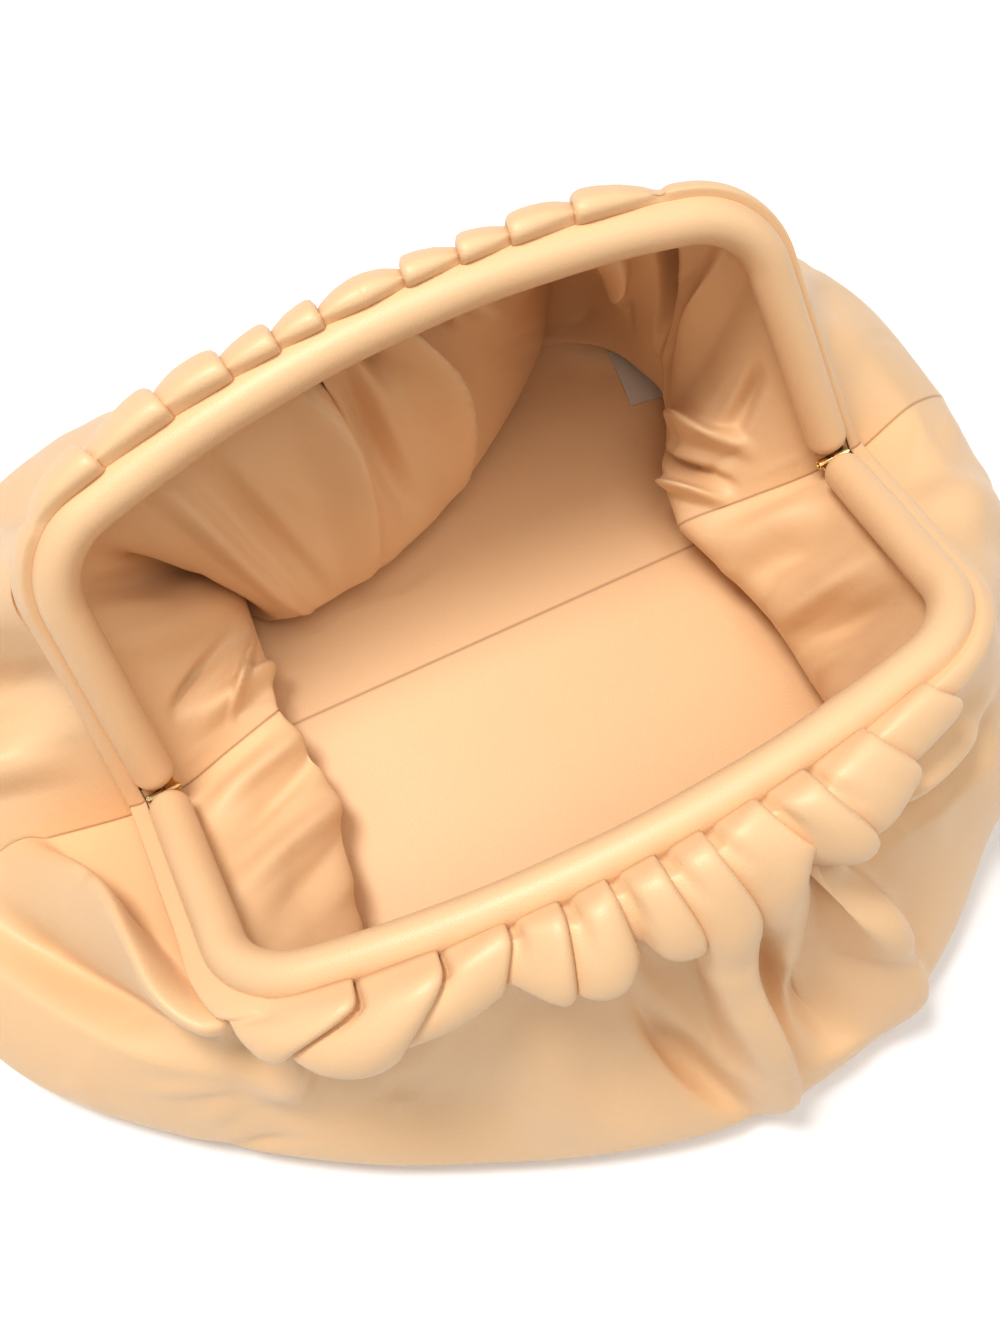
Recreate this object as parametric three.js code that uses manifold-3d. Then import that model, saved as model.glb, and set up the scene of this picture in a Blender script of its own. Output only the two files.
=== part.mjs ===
// A soft leather pouch bag with a gathered mouth, standing open on a table.
// Two padded bows, joined by a small brass hinge at each end, hold the mouth open. An outer bag of two
// panels is pleated onto the outside of the bows, and a lining of two panels hangs from their undersides.
// Units are millimetres. +X runs from the left hinge to the right one, +Y to the back, +Z up, and the
// origin is on the table, straight below the middle of the line through the two hinges.

import * as THREE from "three";
import { mergeVertices } from "three/addons/utils/BufferGeometryUtils.js";
import Module from "manifold-3d";

const wasm = await Module();
wasm.setup();

const { degToRad, lerp, clamp, smoothstep } = THREE.MathUtils;
const vec = (x, y, z) => new THREE.Vector3(x, y, z);

// Sizes of the frame
const frameWidth = 270; // between the middles of the two hinges
const bowDepth = 126; // from the hinge line to the middle of a bow's rail
const armLean = 5.5; // how far an arm leans in from square, in degrees
const cornerRadius = 33; // of the bow's centre line
const railRadius = 390; // of the bow's long, slightly arched rail
const tubeRadius = 7.4; // of the padded bow
const capLength = 5.5; // of the rounded end of a bow
const endGap = 5; // from a hinge's axis to the tip of a bow
const openAngle = 88; // between the two bows

// How the open frame stands: it leans towards the front left
const hingeHeight = 55; // of the middle of the hinge line above the table
const forwardLean = 13.5; // degrees, the front bow sinks and the back one rises
const sideLean = 6.7; // degrees, the left hinge sinks and the right one rises

// Sizes of a hinge
const barrelRadius = 1.8;
const barrelLength = 12;
const pinRadius = 0.8;
const leafWidth = 4.4;
const leafThickness = 1.2;
const leafReach = 6; // how far a leaf goes into its bow

// Sizes of the leather
const wall = 1.6; // of the outer bag
const liningWall = 1.4;
const clearance = 0.3; // between pieces that meet
const rimGap = 0.6; // between a bow and the leather's edge on it
const bodyLeft = 240; // from the origin to the widest line of the outer bag, on each side
const bodyRight = 204;
const bodyFront = 205; // from the side seams to the widest line, at the front and the back
const bodyBack = 154;
const seamY = 17; // the side and bottom seams lie a little behind the hinge line
const mitreLength = 0.1; // share of a bow over which the leather turns towards the other bow
const rollReach = 24; // how far the gathers stand out past a bow
const rollLip = 0.4; // shares of a gather's reach: where it has risen along the bow's plane,
const rollNose = 0.95; // where it is widest
const rollSag = 0.12; // and how far it has sunk there
const toeInset = 12; // how far the bag's edge on the table lies inside its widest line
const seamReach = 0.8; // the bottom seam's length to each side, as a share of the bag's
const liningDrop = 3.8; // from a bow straight on, before the lining bends
const turnShare = 0.15; // how far from the lining's fold to its toe it turns, as a share of the way
const turnDepth = 0.75; // and as a share of the way down

// Sizes of the label inside
const labelWidth = 20;
const labelLength = 28;
const labelThickness = 0.6;
const labelTurn = -7; // degrees, from square to the seams
const labelWide = 0.56; // its middle's place, as shares of the bag's reach to the right and the back
const labelDeep = 0.53;

// Rows run along a bow from the left hinge, at 0, to the right one, at 1. wide and deep place the bag's
// widest line as shares of its reach to that side, belly is that line's height and full the swelling
// above it as shares of the bow's height, and under is the place along the bottom seam.
const outerFrontSections = [
  { at: 0.0, wide: -1.0, deep: 0.0, belly: 0.34, full: 0.16, under: 0.0 },
  { at: 0.09, wide: -0.98, deep: 0.2, belly: 0.26, full: 0.1, under: 0.04 },
  { at: 0.19, wide: -0.88, deep: 0.44, belly: 0.18, full: 0.02, under: 0.12 },
  { at: 0.29, wide: -0.66, deep: 0.67, belly: 0.15, full: -0.04, under: 0.22 },
  { at: 0.39, wide: -0.38, deep: 0.86, belly: 0.14, full: -0.06, under: 0.37 },
  { at: 0.5, wide: 0.0, deep: 1.0, belly: 0.14, full: -0.06, under: 0.54 },
  { at: 0.61, wide: 0.36, deep: 0.95, belly: 0.16, full: -0.03, under: 0.7 },
  { at: 0.71, wide: 0.62, deep: 0.77, belly: 0.2, full: 0.02, under: 0.82 },
  { at: 0.81, wide: 0.84, deep: 0.53, belly: 0.26, full: 0.08, under: 0.9 },
  { at: 0.91, wide: 0.96, deep: 0.27, belly: 0.36, full: 0.16, under: 0.96 },
  { at: 1.0, wide: 1.0, deep: 0.0, belly: 0.5, full: 0.22, under: 1.0 },
];
const outerBackSections = [
  { at: 0.0, wide: -1.0, deep: 0.0, belly: 0.34, full: 0.16, under: 0.0 },
  { at: 0.09, wide: -0.97, deep: 0.27, belly: 0.28, full: 0.06, under: 0.04 },
  { at: 0.19, wide: -0.84, deep: 0.58, belly: 0.24, full: 0.0, under: 0.12 },
  { at: 0.29, wide: -0.6, deep: 0.85, belly: 0.24, full: -0.02, under: 0.22 },
  { at: 0.39, wide: -0.32, deep: 0.9, belly: 0.24, full: -0.04, under: 0.37 },
  { at: 0.5, wide: 0.0, deep: 0.82, belly: 0.24, full: -0.04, under: 0.54 },
  { at: 0.61, wide: 0.33, deep: 0.88, belly: 0.26, full: -0.02, under: 0.7 },
  { at: 0.71, wide: 0.58, deep: 0.84, belly: 0.28, full: 0.0, under: 0.82 },
  { at: 0.81, wide: 0.8, deep: 0.64, belly: 0.3, full: 0.02, under: 0.9 },
  { at: 0.91, wide: 0.95, deep: 0.37, belly: 0.38, full: 0.1, under: 0.96 },
  { at: 1.0, wide: 1.0, deep: 0.0, belly: 0.5, full: 0.22, under: 1.0 },
];

// The gathers below a bow. roll is how far they stand out, as a share of their usual reach. tuck and drop
// are how far back and down the leather goes under them, as shares of that gather's own reach.
const outerFrontGathers = [
  { at: 0.0, roll: 0.28, tuck: 0.0, drop: 1.5 },
  { at: 0.1, roll: 0.28, tuck: 0.0, drop: 1.5 },
  { at: 0.2, roll: 0.34, tuck: 0.2, drop: 0.9 },
  { at: 0.25, roll: 0.7, tuck: 0.35, drop: 0.9 },
  { at: 0.295, roll: 1.2, tuck: 0.5, drop: 0.9 },
  { at: 0.34, roll: 1.4, tuck: 0.5, drop: 0.95 },
  { at: 0.375, roll: 1.0, tuck: 0.4, drop: 0.95 },
  { at: 0.405, roll: 0.7, tuck: 0.35, drop: 0.95 },
  { at: 0.44, roll: 1.15, tuck: 0.45, drop: 0.95 },
  { at: 0.46, roll: 1.15, tuck: 0.45, drop: 0.95 },
  { at: 0.475, roll: 0.85, tuck: 0.35, drop: 0.95 },
  { at: 0.5, roll: 1.25, tuck: 0.3, drop: 0.95 },
  { at: 0.54, roll: 1.0, tuck: 0.4, drop: 0.95 },
  { at: 0.57, roll: 0.8, tuck: 0.35, drop: 0.95 },
  { at: 0.6, roll: 1.2, tuck: 0.3, drop: 0.95 },
  { at: 0.65, roll: 0.9, tuck: 0.4, drop: 0.95 },
  { at: 0.69, roll: 0.6, tuck: 0.3, drop: 0.9 },
  { at: 0.76, roll: 0.34, tuck: 0.2, drop: 0.9 },
  { at: 0.88, roll: 0.28, tuck: 0.0, drop: 1.4 },
  { at: 1.0, roll: 0.28, tuck: 0.0, drop: 1.5 },
];
const outerBackGathers = [
  { at: 0.0, roll: 0.28, tuck: 0.0, drop: 1.5 },
  { at: 0.12, roll: 0.28, tuck: 0.0, drop: 1.4 },
  { at: 0.2, roll: 0.4, tuck: 0.1, drop: 0.9 },
  { at: 0.31, roll: 0.56, tuck: 0.3, drop: 0.9 },
  { at: 0.37, roll: 0.62, tuck: 0.35, drop: 0.9 },
  { at: 0.42, roll: 0.46, tuck: 0.25, drop: 0.9 },
  { at: 0.5, roll: 0.42, tuck: 0.25, drop: 0.9 },
  { at: 0.59, roll: 0.4, tuck: 0.25, drop: 0.9 },
  { at: 0.64, roll: 0.5, tuck: 0.3, drop: 0.9 },
  { at: 0.7, roll: 0.42, tuck: 0.2, drop: 0.9 },
  { at: 0.8, roll: 0.32, tuck: 0.1, drop: 1.2 },
  { at: 0.9, roll: 0.28, tuck: 0.0, drop: 1.4 },
  { at: 1.0, roll: 0.28, tuck: 0.0, drop: 1.5 },
];

// The lining. wide and deep place the line of its fold in plan, as shares of half the frame's width and of
// a bow's depth, high is that line's height as a share of the bow's, and toe the lining's reach on the floor
// as a share of the outer bag's.
const liningFrontSections = [
  { at: 0.0, wide: -0.63, deep: 0.0, high: 0.6, toe: 0.86, under: 0.0 },
  { at: 0.08, wide: -0.59, deep: 0.22, high: 0.34, toe: 0.84, under: 0.04 },
  { at: 0.16, wide: -0.61, deep: 0.45, high: 0.28, toe: 0.82, under: 0.1 },
  { at: 0.22, wide: -0.67, deep: 0.72, high: 0.26, toe: 0.82, under: 0.16 },
  { at: 0.29, wide: -0.68, deep: 0.96, high: 0.26, toe: 0.82, under: 0.25 },
  { at: 0.39, wide: -0.4, deep: 1.15, high: 0.28, toe: 0.84, under: 0.39 },
  { at: 0.5, wide: 0.0, deep: 1.2, high: 0.3, toe: 0.84, under: 0.54 },
  { at: 0.61, wide: 0.36, deep: 1.16, high: 0.3, toe: 0.84, under: 0.7 },
  { at: 0.7, wide: 0.62, deep: 1.0, high: 0.28, toe: 0.82, under: 0.81 },
  { at: 0.77, wide: 0.74, deep: 0.78, high: 0.28, toe: 0.82, under: 0.87 },
  { at: 0.84, wide: 0.74, deep: 0.58, high: 0.3, toe: 0.82, under: 0.92 },
  { at: 0.92, wide: 0.72, deep: 0.34, high: 0.34, toe: 0.84, under: 0.97 },
  { at: 1.0, wide: 0.63, deep: 0.0, high: 0.42, toe: 0.86, under: 1.0 },
];
const liningBackSections = [
  { at: 0.0, wide: -0.63, deep: 0.0, high: 0.6, toe: 0.86, under: 0.0 },
  { at: 0.08, wide: -0.6, deep: 0.22, high: 0.32, toe: 0.84, under: 0.04 },
  { at: 0.15, wide: -0.59, deep: 0.5, high: 0.26, toe: 0.82, under: 0.1 },
  { at: 0.2, wide: -0.6, deep: 0.68, high: 0.2, toe: 0.82, under: 0.14 },
  { at: 0.25, wide: -0.57, deep: 0.4, high: 0.12, toe: 0.82, under: 0.19 },
  { at: 0.31, wide: -0.5, deep: 0.27, high: 0.17, toe: 0.82, under: 0.26 },
  { at: 0.37, wide: -0.34, deep: 0.27, high: 0.16, toe: 0.84, under: 0.35 },
  { at: 0.44, wide: -0.02, deep: 0.36, high: 0.16, toe: 0.84, under: 0.46 },
  { at: 0.5, wide: 0.26, deep: 0.53, high: 0.18, toe: 0.84, under: 0.54 },
  { at: 0.56, wide: 0.53, deep: 0.76, high: 0.2, toe: 0.84, under: 0.62 },
  { at: 0.61, wide: 0.67, deep: 0.96, high: 0.2, toe: 0.84, under: 0.71 },
  { at: 0.66, wide: 0.77, deep: 0.9, high: 0.22, toe: 0.84, under: 0.78 },
  { at: 0.71, wide: 0.8, deep: 0.74, high: 0.24, toe: 0.82, under: 0.83 },
  { at: 0.76, wide: 0.81, deep: 0.6, high: 0.26, toe: 0.82, under: 0.87 },
  { at: 0.81, wide: 0.82, deep: 0.48, high: 0.28, toe: 0.82, under: 0.91 },
  { at: 0.87, wide: 0.75, deep: 0.32, high: 0.3, toe: 0.82, under: 0.94 },
  { at: 0.92, wide: 0.67, deep: 0.19, high: 0.34, toe: 0.84, under: 0.97 },
  { at: 1.0, wide: 0.63, deep: 0.0, high: 0.42, toe: 0.86, under: 1.0 },
];

// Pleats: the places of their folds along a bow, and how far they stand out
const pleatEdges = [0.245, 0.294, 0.35, 0.397, 0.434, 0.467, 0.501, 0.534, 0.573, 0.61, 0.657, 0.713];
const pleatRise = 5;
const pleatSink = 0.4; // share of that rise by which a pleat starts below the leather's own line
const pleatRim = 0.05; // shares of the wall's length where the pleats have risen from the rim,
const pleatTop = 0.14; // where they begin to run out
const pleatFoot = 0.34; // and where they end

// Folds: a ridge runs from a place near the bow to a foot, each given as a share along the bow and a
// share down the wall. spread is the ridge's half width as a share of the bow, rise its height as a share
// of the bow's depth and lean how far it hangs over sideways, as a share of its height. A negative rise is
// a hollow.
const outerFrontFolds = [
  { at: 0.05, down: 0.3, to: 0.1, foot: 0.8, spread: 0.035, rise: 0.07, lean: 0.4 },
  { at: 0.09, down: 0.35, to: 0.2, foot: 0.92, spread: 0.04, rise: -0.07, lean: 0.0 },
  { at: 0.15, down: 0.1, to: 0.24, foot: 0.62, spread: 0.045, rise: 0.1, lean: 0.5 },
  { at: 0.2, down: 0.4, to: 0.3, foot: 0.95, spread: 0.05, rise: -0.05, lean: 0.0 },
  { at: 0.25, down: 0.16, to: 0.31, foot: 0.5, spread: 0.035, rise: 0.07, lean: 0.5 },
  { at: 0.42, down: 0.4, to: 0.43, foot: 0.8, spread: 0.03, rise: 0.03, lean: 0.0 },
  { at: 0.488, down: 0.14, to: 0.52, foot: 0.99, spread: 0.026, rise: 0.1, lean: 0.7 },
  { at: 0.535, down: 0.3, to: 0.56, foot: 0.95, spread: 0.03, rise: -0.06, lean: 0.0 },
  { at: 0.585, down: 0.14, to: 0.61, foot: 0.97, spread: 0.03, rise: 0.12, lean: 0.7 },
  { at: 0.65, down: 0.3, to: 0.68, foot: 0.95, spread: 0.04, rise: -0.06, lean: 0.0 },
  { at: 0.7, down: 0.16, to: 0.73, foot: 0.8, spread: 0.04, rise: 0.06, lean: 0.5 },
  { at: 0.8, down: 0.3, to: 0.82, foot: 0.9, spread: 0.05, rise: -0.04, lean: 0.0 },
  { at: 0.9, down: 0.15, to: 0.91, foot: 0.8, spread: 0.04, rise: 0.05, lean: 0.3 },
];
const outerBackFolds = [
  { at: 0.07, down: 0.25, to: 0.07, foot: 0.8, spread: 0.03, rise: 0.06, lean: 0.3 },
  { at: 0.13, down: 0.12, to: 0.13, foot: 0.85, spread: 0.045, rise: -0.11, lean: 0.0 },
  { at: 0.2, down: 0.1, to: 0.21, foot: 0.8, spread: 0.04, rise: 0.08, lean: 0.4 },
  { at: 0.27, down: 0.2, to: 0.28, foot: 0.8, spread: 0.035, rise: -0.06, lean: 0.0 },
  { at: 0.34, down: 0.15, to: 0.35, foot: 0.8, spread: 0.035, rise: 0.06, lean: 0.4 },
  { at: 0.42, down: 0.2, to: 0.42, foot: 0.85, spread: 0.035, rise: -0.05, lean: 0.0 },
  { at: 0.5, down: 0.15, to: 0.49, foot: 0.8, spread: 0.035, rise: 0.06, lean: -0.4 },
  { at: 0.57, down: 0.2, to: 0.56, foot: 0.85, spread: 0.03, rise: -0.05, lean: 0.0 },
  { at: 0.64, down: 0.15, to: 0.63, foot: 0.8, spread: 0.035, rise: 0.06, lean: -0.4 },
  { at: 0.72, down: 0.2, to: 0.73, foot: 0.8, spread: 0.035, rise: -0.05, lean: 0.0 },
  { at: 0.8, down: 0.12, to: 0.82, foot: 0.75, spread: 0.04, rise: 0.06, lean: 0.3 },
  { at: 0.9, down: 0.2, to: 0.9, foot: 0.8, spread: 0.04, rise: -0.04, lean: 0.0 },
];
const liningFrontFolds = [
  { at: 0.04, down: 0.05, to: 0.03, foot: 0.55, spread: 0.02, rise: 0.05, lean: 0.4 },
  { at: 0.075, down: 0.1, to: 0.06, foot: 0.6, spread: 0.02, rise: -0.04, lean: 0.0 },
  { at: 0.12, down: 0.02, to: 0.12, foot: 0.6, spread: 0.025, rise: 0.04, lean: 0.3 },
  { at: 0.17, down: 0.1, to: 0.16, foot: 0.6, spread: 0.03, rise: -0.04, lean: 0.0 },
  { at: 0.25, down: 0.02, to: 0.24, foot: 0.5, spread: 0.03, rise: 0.05, lean: 0.3 },
  { at: 0.8, down: 0.02, to: 0.79, foot: 0.6, spread: 0.03, rise: 0.05, lean: -0.4 },
  { at: 0.85, down: 0.05, to: 0.86, foot: 0.6, spread: 0.03, rise: -0.06, lean: 0.0 },
  { at: 0.9, down: 0.02, to: 0.9, foot: 0.55, spread: 0.025, rise: 0.05, lean: -0.4 },
  { at: 0.94, down: 0.1, to: 0.94, foot: 0.6, spread: 0.02, rise: -0.04, lean: 0.0 },
  { at: 0.97, down: 0.05, to: 0.97, foot: 0.5, spread: 0.02, rise: 0.04, lean: 0.0 },
];
const liningBackFolds = [
  { at: 0.04, down: 0.15, to: 0.05, foot: 0.6, spread: 0.02, rise: 0.05, lean: 0.4 },
  { at: 0.08, down: 0.1, to: 0.08, foot: 0.6, spread: 0.025, rise: -0.05, lean: 0.0 },
  { at: 0.13, down: 0.02, to: 0.12, foot: 0.55, spread: 0.03, rise: 0.04, lean: 0.0 },
  { at: 0.31, down: 0.02, to: 0.32, foot: 0.5, spread: 0.018, rise: 0.06, lean: 0.5 },
  { at: 0.35, down: 0.02, to: 0.36, foot: 0.55, spread: 0.02, rise: -0.04, lean: 0.0 },
  { at: 0.39, down: 0.0, to: 0.4, foot: 0.52, spread: 0.018, rise: 0.07, lean: 0.6 },
  { at: 0.43, down: 0.02, to: 0.43, foot: 0.55, spread: 0.02, rise: -0.05, lean: 0.0 },
  { at: 0.47, down: 0.0, to: 0.46, foot: 0.5, spread: 0.018, rise: 0.06, lean: -0.5 },
  { at: 0.7, down: 0.02, to: 0.7, foot: 0.5, spread: 0.02, rise: 0.07, lean: 0.6 },
  { at: 0.74, down: 0.05, to: 0.75, foot: 0.6, spread: 0.02, rise: -0.06, lean: 0.0 },
  { at: 0.79, down: 0.02, to: 0.79, foot: 0.6, spread: 0.025, rise: 0.06, lean: -0.4 },
  { at: 0.86, down: 0.2, to: 0.87, foot: 0.6, spread: 0.02, rise: -0.04, lean: 0.0 },
  { at: 0.91, down: 0.3, to: 0.92, foot: 0.7, spread: 0.02, rise: 0.05, lean: 0.3 },
  { at: 0.95, down: 0.1, to: 0.95, foot: 0.6, spread: 0.02, rise: -0.05, lean: 0.0 },
];

// How finely the surfaces are cut into facets
const tubeSides = 12;
const barSides = 12;
const armSteps = 5;
const cornerSteps = 6;
const railSteps = 5;
const capRings = 3;
const leftCornerSteps = 3;
const rightCornerSteps = 6;
const pleatPhases = [0, 0.45, 0.84]; // of a pleat's columns
const liningStep = 0.06; // the widest share of a bow between two columns of the lining
const outerDowns = [0, 0.05, 0.09, 0.12, 0.16, 0.2, 0.27, 0.36, 0.46, 0.58, 0.72, 0.86, 0.94, 1, 1.5, 2];
const liningDowns = [0, 0.06, 0.17, 0.28, 0.4, 0.46, 0.5, 0.54, 0.62, 0.72, 0.86, 1, 1.5, 2];

// Where down, the share of a wall's length, passes the points that shape it: rim, lip, nose, tuck, middle,
// belly and toe on the outer bag, and rim, start, drop, fold, turn and toe on the lining
const outerStations = [0, 0.05, 0.12, 0.2, 0.5, 0.86, 1];
const liningStations = [0, 0.06, 0.28, 0.5, 0.72, 1];

const bowRise = degToRad(90 - openAngle / 2); // of each bow above the plane through the hinges
const liningAngle = degToRad(112); // where the lining leaves a bow, round from its outward side

// The frame's own place on the table
const stand = new THREE.Matrix4()
  .makeRotationY(-degToRad(sideLean))
  .multiply(new THREE.Matrix4().makeRotationX(degToRad(forwardLean)))
  .setPosition(0, 0, hingeHeight);

// One half of a bow in its own plane, where x runs along the hinge line and d away from it: a straight
// arm, a round corner and half of the arched rail
const bow = (() => {
  const lean = degToRad(armLean);
  const along = new THREE.Vector2(-Math.sin(lean), Math.cos(lean));
  const out = new THREE.Vector2(Math.cos(lean), Math.sin(lean));
  const hinge = new THREE.Vector2(frameWidth / 2, 0);
  const rail = new THREE.Vector2(0, bowDepth - railRadius);
  const toStart = hinge.clone().addScaledVector(out, -cornerRadius).sub(rail);
  const ahead = toStart.dot(along);
  const arm = -ahead + Math.sqrt(ahead ** 2 - toStart.lengthSq() + (railRadius - cornerRadius) ** 2);
  const corner = toStart.clone().addScaledVector(along, arm).add(rail);
  const railFrom = corner.clone().sub(rail).angle();
  const cornerLength = cornerRadius * (railFrom - lean);
  const length = arm + cornerLength + railRadius * (Math.PI / 2 - railFrom);
  return { lean, along, out, hinge, rail, corner, arm, cornerLength, length };
})();

// A bow's centre and outward direction in its plane, at a share of its length from the left hinge
function bowPlane(share) {
  const s = 2 * bow.length * Math.min(share, 1 - share);
  const centre = bow.hinge.clone().addScaledVector(bow.along, s);
  const out = bow.out.clone();
  const past = s - bow.arm;
  if (past > 0) {
    const onCorner = past < bow.cornerLength;
    const radius = onCorner ? cornerRadius : railRadius;
    const angle = onCorner ? bow.lean + past / radius : Math.PI / 2 - (bow.length - s) / radius;
    out.set(Math.cos(angle), Math.sin(angle));
    centre.copy(onCorner ? bow.corner : bow.rail).addScaledVector(out, radius);
  }
  const mirror = share < 0.5 ? -1 : 1;
  return { x: mirror * centre.x, d: centre.y, outX: mirror * out.x, outD: out.y };
}

// A place on a bow on the table. side is -1 for the front bow and 1 for the back one. rise is the
// direction square to the bow's plane, on its upper side.
function bowPlace(side, share) {
  const { x, d, outX, outD } = bowPlane(share);
  const [c, s] = [Math.cos(bowRise), Math.sin(bowRise)];
  const turned = (v) => v.transformDirection(stand);
  const centre = vec(x, side * d * c, d * s).applyMatrix4(stand);
  const out = turned(vec(outX, side * outD * c, outD * s));
  const rise = turned(vec(0, -side * s, c));
  const along = turned(vec(outD, -side * outX * c, -outX * s));
  return { centre, out, rise, along };
}

// Where leather leaves a bow, and in which direction, at an angle round the bow from its outward side.
// Near a hinge the front and the back turn towards each other and meet in a mitre.
function leatherStart(side, share, angle) {
  const { centre, out, rise, along } = bowPlace(side, share);
  const hingeRise = vec(0, 0, 1).transformDirection(stand);
  const hingeOut = vec(share < 0.5 ? -1 : 1, 0, 0).transformDirection(stand);
  const own = smoothstep(Math.min(share, 1 - share), 0, mitreLength);
  const sideways = hingeOut.lerp(out, own).normalize();
  const down = hingeRise.lerp(rise, own).negate().normalize();
  const leave = sideways.multiplyScalar(Math.cos(angle)).addScaledVector(down, Math.sin(angle)).normalize();
  const mitre = Math.sqrt(1 - leave.dot(along) ** 2);
  const rim = centre.clone().addScaledVector(leave, (tubeRadius + rimGap) / mitre);
  return { centre, rim, leave };
}

// The value at x of a smooth curve through some heights ys at xs
function smoothValue(xs, ys, x) {
  const last = xs.length - 1;
  let i = 0;
  while (i < last - 1 && x > xs[i + 1]) i += 1;
  const slope = (k) => {
    const [a, b] = [Math.max(k - 1, 0), Math.min(k + 1, last)];
    return (ys[b] - ys[a]) / (xs[b] - xs[a]);
  };
  const h = xs[i + 1] - xs[i];
  const t = clamp((x - xs[i]) / h, 0, 1);
  const late = t * t * (3 - 2 * t);
  const bend = t * (1 - t) * ((1 - t) * slope(i) - t * slope(i + 1));
  return lerp(ys[i], ys[i + 1], late) + h * bend;
}

function rowAt(rows, share) {
  const shares = rows.map((row) => row.at);
  const value = (name) => smoothValue(shares, rows.map((row) => row[name]), share);
  return Object.fromEntries(Object.keys(rows[0]).map((name) => [name, value(name)]));
}

// A place on the smooth curve through some points, where each point stands at its own value of down
function curvePoint(points, stations, down) {
  const lengths = [0];
  for (let i = 1; i < points.length; i += 1) {
    lengths.push(lengths[i - 1] + points[i].distanceTo(points[i - 1]));
  }
  let i = 0;
  while (i < stations.length - 2 && down > stations[i + 1]) i += 1;
  const at = lerp(lengths[i], lengths[i + 1], (down - stations[i]) / (stations[i + 1] - stations[i]));
  return vec(...["x", "y", "z"].map((axis) => smoothValue(lengths, points.map((p) => p[axis]), at)));
}

function seamPoint(share, z) {
  return vec(seamReach * lerp(-bodyLeft, bodyRight, share), seamY, z);
}

// A place on the bag's widest line, given in plan, at a share of the way out to it
function bodyPoint(side, row, share, z) {
  const x = share * row.wide * (row.wide < 0 ? bodyLeft : bodyRight);
  const y = seamY + share * side * row.deep * (side < 0 ? bodyFront : bodyBack);
  return vec(x, y, z);
}

const outerRows = (side) => (side < 0 ? outerFrontSections : outerBackSections);
const gatherRows = (side) => (side < 0 ? outerFrontGathers : outerBackGathers);
const liningRows = (side) => (side < 0 ? liningFrontSections : liningBackSections);

// A place on the outer bag. down runs from the bow, at 0, to the table, at 1, and to the seam, at 2.
function outerPoint(side, share, down) {
  const row = rowAt(outerRows(side), share);
  const { centre, rim, leave } = leatherStart(side, share, 0);
  const belly = bodyPoint(side, row, 1, row.belly * centre.z);
  const inset = 1 - toeInset / Math.hypot(belly.x, belly.y - seamY);
  const toe = bodyPoint(side, row, inset, 0);
  if (down >= 1) return toe.lerp(seamPoint(row.under, 0), down - 1);
  const gather = rowAt(gatherRows(side), share);
  const roll = rollReach * gather.roll;
  const level = belly.clone().sub(rim).setZ(0).normalize();
  const lip = rim.clone().addScaledVector(leave, rollLip * roll);
  const nose = rim.clone().addScaledVector(level, rollNose * roll);
  nose.z -= rollSag * roll;
  const tuck = rim.clone().addScaledVector(level, (rollNose - gather.tuck) * roll);
  tuck.z -= gather.drop * roll;
  const middle = tuck.clone().lerp(belly, 0.5);
  middle.z += row.full * centre.z;
  return curvePoint([rim, lip, nose, tuck, middle, belly, toe], outerStations, down);
}

// A place on the lining's inside. It hangs from the bow's underside to a fold, turns back under itself
// to its toe on the floor, and lies flat from there to the bottom seam.
function liningPoint(side, share, down) {
  const row = rowAt(liningRows(side), share);
  const outer = rowAt(outerRows(side), share);
  const floor = wall + clearance + liningWall;
  const { centre, rim, leave } = leatherStart(side, share, liningAngle);
  const toe = bodyPoint(side, outer, row.toe, floor);
  if (down >= 1) return toe.lerp(seamPoint(row.under, floor), down - 1);
  const start = rim.clone().addScaledVector(leave, liningDrop);
  const fold = vec(0.5 * row.wide * frameWidth, seamY + side * row.deep * bowDepth, row.high * centre.z);
  const drop = start.clone().lerp(fold, 0.5);
  const turn = fold.clone().lerp(toe, turnShare).setZ(lerp(fold.z, floor, turnDepth));
  return curvePoint([rim, start, drop, fold, turn, toe], liningStations, down);
}

const hump = (x) => (Math.abs(x) < 1 ? Math.cos((x * Math.PI) / 2) ** 2 : 0);

// How far the folds push the leather out of the bag and sideways along the bow
function foldPush(folds, share, down) {
  const push = { out: 0, along: 0 };
  for (const fold of folds) {
    const t = (down - fold.down) / (fold.foot - fold.down);
    const middle = lerp(fold.at, fold.to, clamp(t, 0, 1));
    const rise = fold.rise * bowDepth * hump((share - middle) / fold.spread) * hump(2 * t - 1);
    push.out += rise;
    push.along += fold.lean * rise;
  }
  return push;
}

// A pleat rises slowly to its fold and falls back at once
function pleatHeight(share, down) {
  const number = pleatEdges.findLastIndex((edge) => share >= edge);
  if (number < 0 || number === pleatEdges.length - 1) return 0;
  const phase = (share - pleatEdges[number]) / (pleatEdges[number + 1] - pleatEdges[number]);
  const top = pleatPhases[2];
  const saw = phase < top ? phase / top : (1 - phase) / (1 - top);
  const fade = smoothstep(down, 0, pleatRim) * (1 - smoothstep(down, pleatTop, pleatFoot));
  return pleatRise * (saw - pleatSink) * fade;
}

function outerPush(side, share, down) {
  const push = foldPush(side < 0 ? outerFrontFolds : outerBackFolds, share, down);
  push.out += pleatHeight(share, down);
  return push;
}

function liningPush(side, share, down) {
  const push = foldPush(side < 0 ? liningFrontFolds : liningBackFolds, share, down);
  push.out = -push.out;
  return push;
}

// The directions out of the bag at the points of a ring of columns that closes on itself. Past the toe
// the leather lies flat, and they point straight down.
function ringNormals(ring, downs) {
  const around = ring.length;
  const last = downs.length - 1;
  return ring.map((column, i) =>
    column.map((_, j) => {
      if (downs[j] > 1) return vec(0, 0, -1);
      const across = ring[(i + 1) % around][j].clone().sub(ring[(i + around - 1) % around][j]);
      const down = column[Math.min(j + 1, last)].clone().sub(column[Math.max(j - 1, 0)]);
      return down.cross(across).normalize();
    }),
  );
}

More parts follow.
